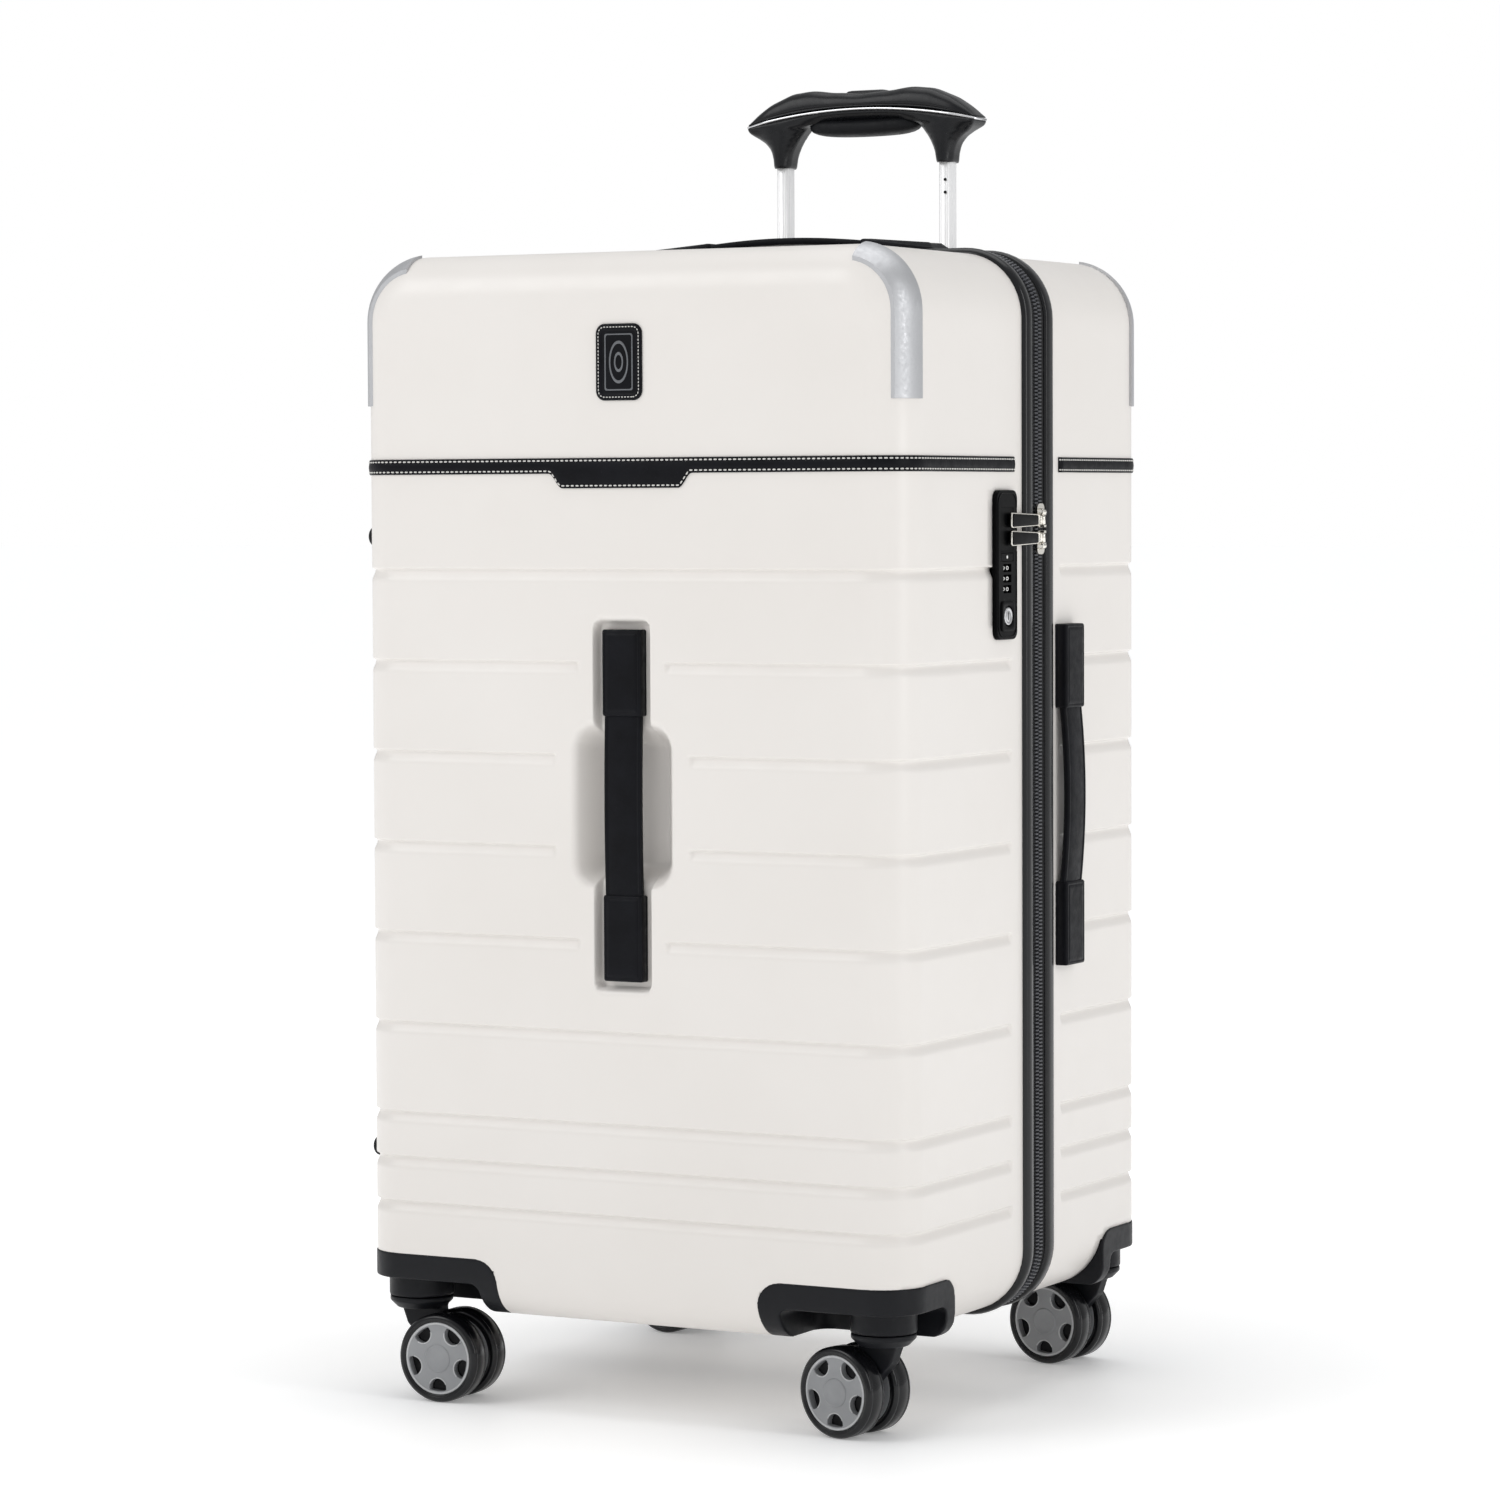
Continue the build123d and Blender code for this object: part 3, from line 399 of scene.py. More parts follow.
def groove_depth(x, y, z, nz):
    """How far the ribbing grooves press in at a point of the case's surface."""
    if abs(nz) > 0.35:
        return 0.0
    deep = 0.0
    for index, zc in enumerate(GROOVE_ZS):
        dz = z - zc
        if not -7.0 < dz < 3.4:
            continue
        if dz > 0.6:
            level = 1 - smooth((dz - 0.6) / 1.7)
        else:
            level = smooth((dz + 7.0) / 7.6)
        if y < -150 and index in (1, 2, 3, 4):
            level *= smooth((abs(x) - (31.5 if index in (1, 4) else 49.5)) / 4)
        if y < SPLIT_Y:
            level *= smooth((-GROOVE_STOP["front"] - y) / 5)
        else:
            level *= smooth((y - GROOVE_STOP["rear"]) / 5)
        deep = max(deep, GROOVE_DEPTH * level)
    return deep


def box_edge(x, z, half_x, half_z, r):
    """The distance inside a rounded rectangle's edge; negative outside."""
    qx, qz = abs(x) - half_x + r, abs(z) - half_z + r
    return r - hypot(max(qx, 0), max(qz, 0)) - min(max(qx, qz), 0)


def recess_depth(x, z):
    """The front face's slot and finger pocket."""
    slot = 8.4 * smooth((box_edge(x, z - HANDLE_Z, 21.4, 122.0, 6) + 0.6) / 2.4)
    pocket = 23.0 * smooth((box_edge(x, z - HANDLE_Z, 39.0, 55.5, 19)) / 17.0) ** 0.85
    return (slot ** 3 + pocket ** 3) ** (1 / 3)


def housing_depth(x, y, z):
    """How far inside a caster housing's outline a point of the case's corner is."""
    def corner(a, b, r):
        if a < r and b < r:
            return r - hypot(r - a, r - b)
        return min(a, b)
    side = corner(abs(x) - (HALF_W - HOUSING_W), HOUSING_TOP - z, 17)
    end = corner(abs(y) - (HALF_D - HOUSING_D), HOUSING_TOP - z, 13)
    return min(side, end)


def skin(side, rows, cols, levels, deep_at):
    """One half's surface, from its flat face out over the edge and along the walls, pressed in by deep_at."""
    count_x, count_z = len(cols), len(rows)
    verts, faces = [], []
    for z in rows:
        for x in cols:
            px, pz = rounded(x, z)
            verts.append((px, side * (HALF_D - deep_at(px, side * HALF_D, pz + MID_Z, 0)), pz + MID_Z))
    for j in range(count_z - 1):
        for i in range(count_x - 1):
            a = j * count_x + i
            faces.append((a, a + 1, a + count_x + 1, a + count_x))
    ring = [(i, 0) for i in range(count_x)] + [(count_x - 1, j) for j in range(1, count_z)]
    ring += [(i, count_z - 1) for i in range(count_x - 2, -1, -1)]
    ring += [(0, j) for j in range(count_z - 2, 0, -1)]
    last = [j * count_x + i for i, j in ring]
    for grow, y in levels:
        start = len(verts)
        tilt = grow / EDGE_R
        lean = sqrt(max(0.0, 1 - tilt * tilt))
        for i, j in ring:
            px, pz = rounded(cols[i], rows[j])
            nx, nz = outward(px, pz)
            wx, wz = px + nx * grow, pz + nz * grow + MID_Z
            deep = deep_at(wx, y, wz, nz)
            verts.append((wx - nx * deep * tilt, y - side * deep * lean, wz - nz * deep * tilt))
        now = list(range(start, len(verts)))
        for k in range(len(ring)):
            n = (k + 1) % len(ring)
            faces.append((last[n], last[k], now[k], now[n]))
        last = now
    return verts, faces


def cut_away(x, y, z):
    """Where the shell is open: at the caster housings, in the lock's well and at the pull handle."""
    lock_well = x > 200 and abs(y - LOCK_Y) < 12 and abs(z - LOCK_Z) < 42
    handle_pocket = z > 700 and abs(x) < 99 and 147 < y < 185
    return housing_depth(x, y, z) > 2.5 or lock_well or handle_pocket


def shell(half, side, y_end):
    """One half of the case, with its ribs, recess and cut-outs."""
    front = half == "front"
    rows = [-FLAT_H, FLAT_H] + spread(-FLAT_H + FLAT_R, FLAT_H - FLAT_R, 8.0)
    rows += [s * (FLAT_H - FLAT_R + step) for s in (-1, 1) for step in ARC_STEPS]
    steps = (-8, -7, -6, -5, -4, -3, -2, -1.2, -0.5, 0.1, 0.6, 1.0, 1.4, 1.8, 2.2, 2.7, 3.2, 4.2)
    rows += [zc - MID_Z + step for zc in GROOVE_ZS for step in steps]
    cols = spread(-FLAT_W + FLAT_R, FLAT_W - FLAT_R, 9.0)
    cols += [s * (FLAT_W - FLAT_R + step) for s in (-1, 1) for step in ARC_STEPS]
    cols += [s * stop + step for s in (-1, 1) for stop in (33.5, 51.5) for step in (-2, -1, 0, 1, 2)]
    cols += [-99.0, 99.0]
    if front:
        rows += [HANDLE_Z - MID_Z + z for z in spread(-126, 126, 2.0)]
        cols += spread(-40, 40, 1.6) + [s * x for s in (-1, 1) for x in (19.8, 20.4, 21.0, 21.6, 22.2)]
    arc = [radians(a) for a in (7, 14, 21, 28, 35.9, 42, 48, 54, 60, 66, 72, 78, 84, 90)]
    levels = [(EDGE_R * sin(a), side * (HALF_D - EDGE_R * (1 - cos(a)))) for a in arc]
    depths = spread(y_end, HALF_D - EDGE_R, 9.0) + [147.0]
    depths += [GROOVE_STOP[half] + step for step in range(-1, 7)]
    levels += [(EDGE_R, side * d) for d in reversed(merged(depths, 0.4)[:-1])]

    def deep_at(x, y, z, nz):
        deep = groove_depth(x, y, z, nz)
        if y < -190 and abs(x) < 60:
            deep = max(deep, recess_depth(x, z))
        return deep

    verts, faces = skin(side, merged(rows, 0.35), merged(cols, 0.3), levels, deep_at)
    kept = []
    for face in faces:
        centre = [sum(verts[v][axis] for v in face) / len(face) for axis in range(3)]
        if not cut_away(*centre):
            kept.append(face if front else tuple(reversed(face)))
    used = sorted({v for face in kept for v in face})
    place = {v: n for n, v in enumerate(used)}
    kept = [tuple(place[v] for v in face) for face in kept]
    points = [verts[v] for v in used]
    item = piece(f"{half}_shell_skin", points, kept, f"{half}_case", SHELL, [f"{half}_shell"])
    wall = item.modifiers.new("Wall", "SOLIDIFY")
    wall.thickness = WALL * MM
    wall.offset = -1


shell("front", -1, 6.5)
shell("rear", 1, 26.5)


# --- rims, zip and belts ---


def outline(step=6.0):
    """Points round the case's outline, each with its outward direction."""
    points = []
    flat_x, flat_z = HALF_W - CORNER_R, HALF_H - CORNER_R
    corners = [(1, -1, -90), (1, 1, 0), (-1, 1, 90), (-1, -1, 180)]
    for index, (sx, sz, start) in enumerate(corners):
        for k in range(15):
            a = radians(start + 90 * k / 14)
            points.append((sx * flat_x + CORNER_R * cos(a), sz * flat_z + CORNER_R * sin(a), cos(a), sin(a)))
        x, z, nx, nz = points[-1]
        next_x, next_z = [(HALF_W, flat_z), (-flat_x, HALF_H), (-HALF_W, -flat_z), (flat_x, -HALF_H)][index]
        run = hypot(next_x - x, next_z - z)
        for d in spread(0, run, step)[1:-1]:
            points.append((x + (next_x - x) * d / run, z + (next_z - z) * d / run, nx, nz))
    return [(x, z + MID_Z, nx, nz) for x, z, nx, nz in points]


OUTLINE = outline()


def at_hinge(x, z):
    """Whether a point of the outline lies where the hinge fabric takes the zip's place."""
    return x < -HALF_W + 10 and HINGE_LOW < z < HINGE_HIGH


def band(name, profile, body, material, hides=(), off_hinge=False):
    """A closed profile of (y, height above the shell) swept round the outline."""
    verts = [(x + nx * h, y, z + nz * h) for x, z, nx, nz in OUTLINE for y, h in profile]
    faces = tube_faces(len(OUTLINE), len(profile), loop=True)
    if off_hinge:
        middles = [[sum(verts[v][axis] for v in face) / 4 for axis in (0, 2)] for face in faces]
        faces = [face for face, middle in zip(faces, middles) if not at_hinge(*middle)]
    return face_out(piece(name, verts, faces, body, material, hides))


def rim_and_tape(half, side, bead):
    """One half's rim, with its rounded top, and its half of the zip tape."""
    body = f"{half}_case"
    far = SPLIT_Y + side * BAND_HALF
    near = SPLIT_Y + side * (BAND_HALF - RIM_W)
    section = [(near, -5.0), (near, 2.2), (near + side * 0.9, 3.0), (near + side * 2.4, 3.5),
               (near + side * 5.0, 3.6 + bead), (near + side * 7.5, 3.6 + bead), (far - side * 2.4, 3.3),
               (far - side * 0.8, 2.2), (far - side * 0.1, 0.4), (far, -0.2), (far, -5.0)]
    band(f"{half}_rim_edging", section, body, RIM, [f"{half}_rim"])
    tape = [(near + side * 0.5, 0.4), (near + side * 0.5, -1.0), (SPLIT_Y + side * 0.15, -1.0),
            (SPLIT_Y + side * 0.15, 0.2), (SPLIT_Y + side * 2.6, 0.5), (near - side * 2.0, 0.9)]
    band(f"{half}_zip_tape_band", tape, body, TAPE, [f"{half}_zip_tape"], off_hinge=True)


rim_and_tape("front", -1, 0.4)
rim_and_tape("rear", 1, 0.0)


def zip_teeth(half, side):
    """The nylon coil's teeth along one tape."""
    verts, faces = [], []
    pitch, run = 2.5, 0.0
    points = OUTLINE + [OUTLINE[0]]
    distance = 0.0 if side < 0 else pitch / 2
    for (x0, z0, nx0, nz0), (x1, z1, nx1, nz1) in zip(points, points[1:]):
        length = hypot(x1 - x0, z1 - z0)
        while distance < run + length:
            t = (distance - run) / length
            x, z = x0 + (x1 - x0) * t, z0 + (z1 - z0) * t
            nx, nz = nx0 + (nx1 - nx0) * t, nz0 + (nz1 - nz0) * t
            distance += pitch
            if at_hinge(x, z):
                continue
            tx, tz = -nz, nx
            base = len(verts)
            for along, low in ((-0.8, 0.4), (-0.5, 2.6), (0.5, 2.6), (0.8, 0.4)):
                for across, drop in ((5.0, 0.9), (3.4, 0.0), (0.2, 0.9)):
                    h = low - (drop if low > 1 else 0)
                    verts.append((x + nx * h + tx * along, SPLIT_Y + side * across, z + nz * h + tz * along))
            for i in range(3):
                for j in range(2):
                    a = base + i * 3 + j
                    faces.append((a, a + 1, a + 4, a + 3))
            faces.append((base, base + 3, base + 6, base + 9))
            faces.append((base + 2, base + 5, base + 8, base + 11))
            faces.append((base, base + 1, base + 2, base + 11, base + 10, base + 9))
        run += length
    face_out(piece(f"{half}_zip_teeth", verts, faces, f"{half}_case", COIL, flat=True))


zip_teeth("front", -1)
zip_teeth("rear", 1)


def waist(y_stop, side):
    """The case's outline seen from above, from one side edge round the face to the other, with directions."""
    turn = [(HALF_W, side * y, 1.0, 0.0) for y in spread(y_stop, HALF_D - EDGE_R, 6.0)[:-1]]
    for k in range(13):
        c, s = cos(radians(7.5 * k)), sin(radians(7.5 * k))
        turn.append((HALF_W - EDGE_R + EDGE_R * c, side * (HALF_D - EDGE_R + EDGE_R * s), c, side * s))
    tab = [s * x for s in (-1, 1) for x in (43.8, 45, 46.5, 48, 49.5, 51, 52.5, 53.8)]
    across = merged(spread(-HALF_W + EDGE_R, HALF_W - EDGE_R, 5.0) + tab, 0.4)[1:-1]
    face = [(x, side * HALF_D, 0.0, float(side)) for x in reversed(across)]
    return turn + face + [(-x, y, -nx, ny) for x, y, nx, ny in reversed(turn)]


def belt_low(half, x, y):
    """The belt's lower edge, with the front one's deeper tab."""
    if half == "rear" or abs(y) < 185:
        return BELT_LOW
    return BELT_LOW - 9.7 * smooth((53.8 - abs(x)) / 10.0)


def belt(half, side, y_stop):
    """A leather belt with a raised middle, and its two rows of stitches."""
    path = waist(y_stop, side)
    verts = []
    for x, y, nx, ny in path:
        low, high = belt_low(half, x, y), BELT_HIGH
        edge = ((0.0, 0.0), (0.0, 0.7), (0.4, 1.2), (1.2, 1.35), (2.0, 1.25), (2.8, 1.5))
        profile = [(low + inset, h) for inset, h in edge] + [((low + high) / 2, 1.75)]
        profile += [(high - inset, h) for inset, h in reversed(edge)]
        verts += [(x + nx * h, y + ny * h, z) for z, h in profile]
    faces = tube_faces(len(path), 13)
    face_out(piece(f"{half}_belt_leather", verts, faces, f"{half}_case", LEATHER, [f"{half}_belt"]))
    lines = [[], []]
    for x, y, nx, ny in path:
        for line, z in zip(lines, (belt_low(half, x, y) + 1.7, BELT_HIGH - 1.7)):
            line.append((Vector((x + nx * 1.3, y + ny * 1.3, z)), Vector((nx, ny, 0))))
    stitches(f"{half}_belt_stitching", lines, f"{half}_case")


def stitches(name, lines, body, long=2.5, gap=1.1, thick=0.5):
    """Short rounded stitches laid along lines of (point, outward direction)."""
    verts, faces = [], []
    for line in lines:
        run, spot = 0.0, 0.6
        for (p0, n0), (p1, n1) in zip(line, line[1:]):
            length = (p1 - p0).length
            while spot < run + length:
                t = (spot - run) / length
                p, n = p0.lerp(p1, t), n0.lerp(n1, t).normalized()
                d = (p1 - p0).normalized()
                w = n.cross(d)
                base = len(verts)
                for along, size in ((-0.5, 0.35), (-0.3, 1.0), (0.3, 1.0), (0.5, 0.35)):
                    for k in range(6):
                        a = radians(60 * k)
                        q = p + d * (along * long) + w * (cos(a) * thick * size) + n * (
                            sin(a) * thick * 0.7 * size + (0.12 if size == 1.0 else -0.1))
                        verts.append(tuple(q))
                faces += [tuple(base + v for v in face) for face in tube_faces(4, 6)]
                spot += long + gap
            run += length
    face_out(piece(name, verts, faces, body, STITCH))


belt("front", -1, 25.9)
belt("rear", 1, 45.3)


# --- builders for the hard fittings ---

X, Y, Z = Vector((1, 0, 0)), Vector((0, 1, 0)), Vector((0, 0, 1))


class Place:
    """A spot to build at: (a, b, h) is a along u, b along v and h out along their normal."""

    def __init__(self, origin, u, v):
        self.origin, self.u, self.v = Vector(origin), Vector(u), Vector(v)
        self.n = self.u.cross(self.v)

    def __call__(self, a, b, h):
        return tuple(self.origin + self.u * a + self.v * b + self.n * h)

    def turned(self, degrees):
        c, s = cos(radians(degrees)), sin(radians(degrees))
        return Place(self.origin, self.u * c + self.v * s, self.v * c - self.u * s)


def rounded_ring(half_u, half_v, r, steps=7):
    """Points round a rounded rectangle, the same number whatever its size."""
    r = max(0.02, min(r, half_u - 0.01, half_v - 0.01))
    points = []
    for su, sv, start in ((1, -1, -90), (1, 1, 0), (-1, 1, 90), (-1, -1, 180)):
        for k in range(steps + 1):
            a = radians(start + 90 * k / steps)
            points.append((su * (half_u - r) + r * cos(a), sv * (half_v - r) + r * sin(a)))
    return points


class Build:
    """Points and faces gathered into one piece."""

    def __init__(self):
        self.verts, self.faces = [], []

    def rings(self, rings, loop=False):
        """Rings of points joined in turn."""
        base, count = len(self.verts), len(rings[0])
        for ring in rings:
            self.verts += ring
        self.faces += [tuple(base + v for v in face) for face in tube_faces(len(rings), count, loop)]
        return self

    def stack(self, place, levels, centre=(0.0, 0.0), loop=False):
        """A form built up in levels of (half length, half width, corner radius, height)."""
        return self.rings([[place(centre[0] + a, centre[1] + b, h) for a, b in rounded_ring(hu, hv, r)]
                           for hu, hv, r, h in levels], loop)

    def lathe(self, place, profile, count=48, loop=False, wobble=None):
        """A form turned about the place's normal, from (radius, height) pairs."""
        rings = []
        for r, h in profile:
            ring = []
            for k in range(count):
                a = 2 * pi * k / count
                grow = wobble(a, r) if wobble else 0.0
                ring.append(place((r + grow) * cos(a), (r + grow) * sin(a), h))
            rings.append(ring)
        return self.rings(rings, loop)

    def make(self, name, body, material, hides=(), flat=False):
        return face_out(piece(name, self.verts, self.faces, body, material, hides, flat))


def copied(node, name, body, material, flatten):
    """A new piece with a CAD node's shape, which it stands for; flatten joins its coplanar faces."""
    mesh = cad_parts[node].data.copy()
    mesh.name = name
    mesh.materials.clear()
    mesh.materials.append(material)
    item = linked(name, mesh)
    work = bmesh.new()
    work.from_mesh(mesh)
    bmesh.ops.remove_doubles(work, verts=work.verts, dist=0.000004)
    if flatten:
        bmesh.ops.dissolve_limit(work, angle_limit=radians(0.6), verts=work.verts, edges=work.edges)
    work.to_mesh(mesh)
    work.free()
    mesh.shade_smooth()
    return dressed(item, body, [node])


def refined(node, name, body, material, width=0.5, segments=2):
    """A CAD node's shape with its edges rounded."""
    item = bevel(copied(node, name, body, material, True), width, segments)
    item.modifiers.new("Even", "WEIGHTED_NORMAL").keep_sharp = True
    return item


def melted(node, name, body, material, voxel=1.0, rounds=10):
    """A CAD node's shape flowed into one soft moulded form."""
    item = copied(node, name, body, material, False)
    skin = item.modifiers.new("Skin", "REMESH")
    skin.mode = "VOXEL"
    skin.voxel_size = voxel * MM
    skin.use_smooth_shade = True
    flow = item.modifiers.new("Flow", "SMOOTH")
    flow.factor = 0.5
    flow.iterations = rounds
    return item


# --- badge, guards, feet ---


def badge():
    """The leather badge: a padded rim with stitches round a sunk field with a pressed mark."""
    place = Place((0, -190.7, 700.2), X, Z)
    w, l, r = 17.3, 25.1, 6.5
    shape = Build().stack(place, [
        (w - 0.4, l - 0.4, r, -0.3), (w, l, r, 0.2), (w, l, r, 0.9), (w - 0.5, l - 0.5, r - 0.4, 1.4),
        (w - 1.3, l - 1.3, r - 1.2, 1.6), (w - 2.2, l - 2.2, r - 2.0, 1.45), (w - 3.0, l - 3.0, r - 2.6, 1.6),
        (w - 3.9, l - 3.9, r - 3.3, 1.6), (w - 4.4, l - 4.4, r - 3.8, 0.95), (w - 4.9, l - 4.9, r - 4.2, 0.9),
        (w - 8.0, l - 10.0, 2.0, 1.05)])
    shape.make("badge_leather", "front_case", LEATHER, ["badge"])
    line = [place(a, b, 1.5) for a, b in rounded_ring(w - 2.2, l - 2.2, r - 2.0)]
    line.append(line[0])
    stitches("badge_stitching", [[(Vector(p), -Y) for p in line]], "front_case", 1.55, 0.75, 0.34)
    mark = Build()
    for half_u, half_v, thick in ((10.6, 18.6, 0.45), (7.2, 14.0, 0.5), (3.4, 6.6, 0.5)):
        rings = []
        for inset, h in ((0, 0.7), (0, 1.25), (thick, 1.35), (2 * thick, 1.25), (2 * thick, 0.7)):
            share = 1 - inset / half_u
            if half_u > 10:
                rings.append([place(a, b, h) for a, b in rounded_ring(half_u - inset, half_v - inset, 1.5)])
            else:
                rings.append([place(half_u * share * cos(t), half_v * share * sin(t), h)
                              for t in (2 * pi * k / 48 for k in range(48))])
        mark.rings(rings, loop=True)
    mark.make("badge_emboss", "front_case", EMBOSS)


# The levels of a handle's end cap: how far in, how round, and how high above the case or below its own top.
CAP_FOOT = ((0.3, 1.2, 0.0), (0, 1.4, 0.4), (0, 1.4, 1.6), (0.25, 1.4, 1.9), (0, 1.4, 2.2))
CAP_TOP = ((0, 1.4, 1.6), (0.15, 1.5, 0.9), (0.6, 1.5, 0.3), (1.3, 1.4, 0.05), (2.1, 1.3, 0),
           (2.35, 1.2, 0.3), (2.6, 1.1, 0.05), (5.0, 1.0, 0))
CAP_W, CAP_L, CAP_AT = 14.5, 28.5, 87.5


def handles():
    """Three carry handles: folded leather end caps and straps that lift in the middle."""
    spots = {
        "front": (Place((0, -182.3, HANDLE_Z), X, Z), 9.0, 0.0, 1.2, "front_case"),
        "side": (Place((HALF_W, HANDLE_Y, HANDLE_Z), Y, Z), 9.0, 0.0, 3.0, "rear_case"),
        "top": (Place((0, HANDLE_Y, TOP_Z), Y, -X), 15.2, 6.8, 3.2, "rear_case"),
    }
    caps = {"front": Build(), "rear": Build()}
    for where, (place, high, lift, bow, case) in spots.items():
        group = caps["front" if where == "front" else "rear"]
        levels = [(CAP_W - inset, CAP_L - inset, r, h) for inset, r, h in CAP_FOOT]
        levels += [(CAP_W - inset, CAP_L - inset, r, high - drop) for inset, r, drop in CAP_TOP]
        for end in (-1, 1):
            first = len(group.verts)
            group.stack(place, levels, (0, end * CAP_AT))
            for i in range(first, len(group.verts) if where == "top" else first):
                p = Vector(group.verts[i])
                far, h = abs((p - place.origin).dot(place.v)), (p - place.origin).dot(place.n)
                group.verts[i] = tuple(p - place.n * (0.55 * h * smooth((far - 104) / 13)))
        strap(where, place, lift, bow)
    for half, build in caps.items():
        build.make(f"{half}_handle_end_caps", f"{half}_case", LEATHER, [f"{half}_handle_caps"])


def strap(where, place, lift, bow):
    """One handle's strap in two halves that meet in the middle."""
    half_w, free = 13.75, 58.6
    top = [(half_w, 1.2), (half_w, 3.4), (half_w - 0.3, 4.3), (half_w - 1.1, 4.75), (half_w - 2.0, 4.7),
           (half_w - 2.6, 4.2), (half_w - 3.3, 4.35), (half_w - 6.0, 4.75), (half_w - 10.0, 4.95), (0, 5.0)]
    under = [(0, 0.0), (half_w - 4.0, 0.0), (half_w - 1.2, 0.1), (half_w - 0.3, 0.5)]
    section = top + [(-a, h) for a, h in reversed(top[:-1])] + [(-a, h) for a, h in reversed(under[1:])]
    section += under
    for end, tag in ((-1, "lower"), (1, "upper")):
        rings = []
        for b in spread(0.0, free + 14.0, 2.4):
            low = 2.6 + lift + bow * (1 - min(1.0, b / free) ** 2)
            narrow = 1 - 0.06 * smooth((b - free) / 2)
            rings.append([place(a * narrow, end * b, low + h * narrow) for a, h in section])
        shape = Build().rings(rings)
        item = face_out(piece(f"{where}_strap_{tag}", shape.verts, shape.faces, None, LEATHER,
                              [f"{where}_handle_grip"]))
        for edge in item.data.edges:
            ends = [item.data.vertices[v].co / MM - place.origin for v in edge.vertices]
            edge.use_edge_sharp = all(abs(p.dot(place.v)) < 0.01 for p in ends)
        start = Vector(place(0, end * free, 0)) * MM
        tuple(Vector(place(0, 0, 0)) * MM)
        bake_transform(item)


badge()
handles()
for half in ("front", "rear"):
    refined(f"{half}_corner_guards", f"{half}_guard_plates", f"{half}_case", GUARD, 0.7, 3)
    melted(f"{half}_side_feet", f"{half}_rubber_feet", f"{half}_case", SOFT, 0.5, 4)


# --- lock and zip pulls ---


def digits(body, z, name):
    """The numbers round one dial, lying on their sides as it turns."""
    shape = Build()
    for number in range(10):
        text = bpy.data.curves.new(f"{name}_{number}", "FONT")
        text.body = str(number)
        text.size, text.extrude = 5.4, 0.06
        text.align_x, text.align_y = "CENTER", "CENTER"
        item = linked(f"{name}_{number}", text)
        mesh = bpy.data.meshes.new_from_object(item.evaluated_get(bpy.context.evaluated_depsgraph_get()))
        a = radians(36 * number)
        out, along = Vector((cos(a), sin(a), 0)), Vector((-sin(a), cos(a), 0))
        base, middle = len(shape.verts), Vector((DIAL_X, LOCK_Y, z))
        for v in mesh.vertices:
            shape.verts.append(tuple(middle + out * (8.05 + v.co.z) + Z * v.co.x + along * v.co.y))
        shape.faces += [tuple(base + i for i in face.vertices) for face in mesh.polygons]
        bpy.data.objects.remove(item)
        bpy.data.meshes.remove(mesh)
    shape.make(name, body, MARK, flat=True)


def knurl(a, r):
    """The notches between a dial's ten numbers."""
    return -0.45 * clamp(abs(sin(5 * a)) * 2.2 - 1.5) if r > 7.5 else 0.0


def lock():
    """The lock: its frame, key plug and collar, push button and three number dials."""
    refined("lock_body", "lock_case", "front_case", LOCK, 0.8, 3)
    face = Place((210.0, LOCK_Y, LOCK_Z), Y, Z)
    collar = Build().stack(face, [
        (10.2, 10.0, 3.0, -0.6), (10.2, 10.0, 3.0, 0.5), (9.8, 9.6, 2.8, 0.9), (9.0, 8.8, 2.4, 1.0),
        (7.6, 7.6, 7.5, 1.0), (7.2, 7.2, 7.1, 0.8), (6.8, 6.8, 6.7, -0.6)], (0.0, -34.0), True)
    collar.make("lock_key_collar", "front_case", LOCK)
    line = ((1.6, -0.2), (1.6, 0.25), (2.0, 0.4), (2.4, 0.25), (2.4, -0.2))
    border = Build().stack(face, [(16 - inset, 49.5 - inset, 7.5, h) for inset, h in line], loop=True)
    border.make("lock_border", "front_case", LOCK)
    plug = Place((209.9, LOCK_Y, LOCK_Z - 34.0), Y, Z)
    key = Build().lathe(plug, [
        (5.9, -4.0), (5.9, 0.7), (5.6, 1.1), (4.6, 1.2), (4.3, 0.8), (3.4, 0.8), (3.2, 0.95),
        (1.5, 0.95)], 40)
    key.make("key_cylinder", "lock_key_plug", STEEL, ["lock_key_plug"])
    # The key slot is a thin black sliver on the plug's face: painted shade where the keyway's hole would be
    # dark.
    slot = Build().stack(plug, [(0.5, 2.7, 0.2, 0.6), (0.5, 2.7, 0.2, 1.02), (0.42, 2.6, 0.2, 1.06)])
    slot.make("key_slot_shade", "lock_key_plug", BLACK_AND_SHADE)
    refined("lock_button", "lock_push_button", "lock_button", LOCK, 0.6, 3)
    spot = Place((209.85, LOCK_Y, 571.2), Y, Z)
    dot = Build().lathe(spot, [(1.1, -0.2), (1.1, 0.12), (0.9, 0.22), (0.3, 0.24)], 20)
    dot.make("lock_button_dot", "lock_button", MARK)
    for number, z in enumerate(DIAL_ZS, 1):
        dial = Build().lathe(Place((DIAL_X, LOCK_Y, z), X, Y), [
            (2.0, -2.3), (6.6, -2.3), (7.6, -2.05), (7.95, -1.6), (7.95, 1.6), (7.6, 2.05), (6.6, 2.3),
            (2.0, 2.3)], 100, wobble=knurl)
        dial.make(f"dial_{number}_wheel", f"lock_dial_{number}", LOCK, [f"lock_dial_{number}"])
        digits(f"lock_dial_{number}", z, f"dial_{number}_numbers")


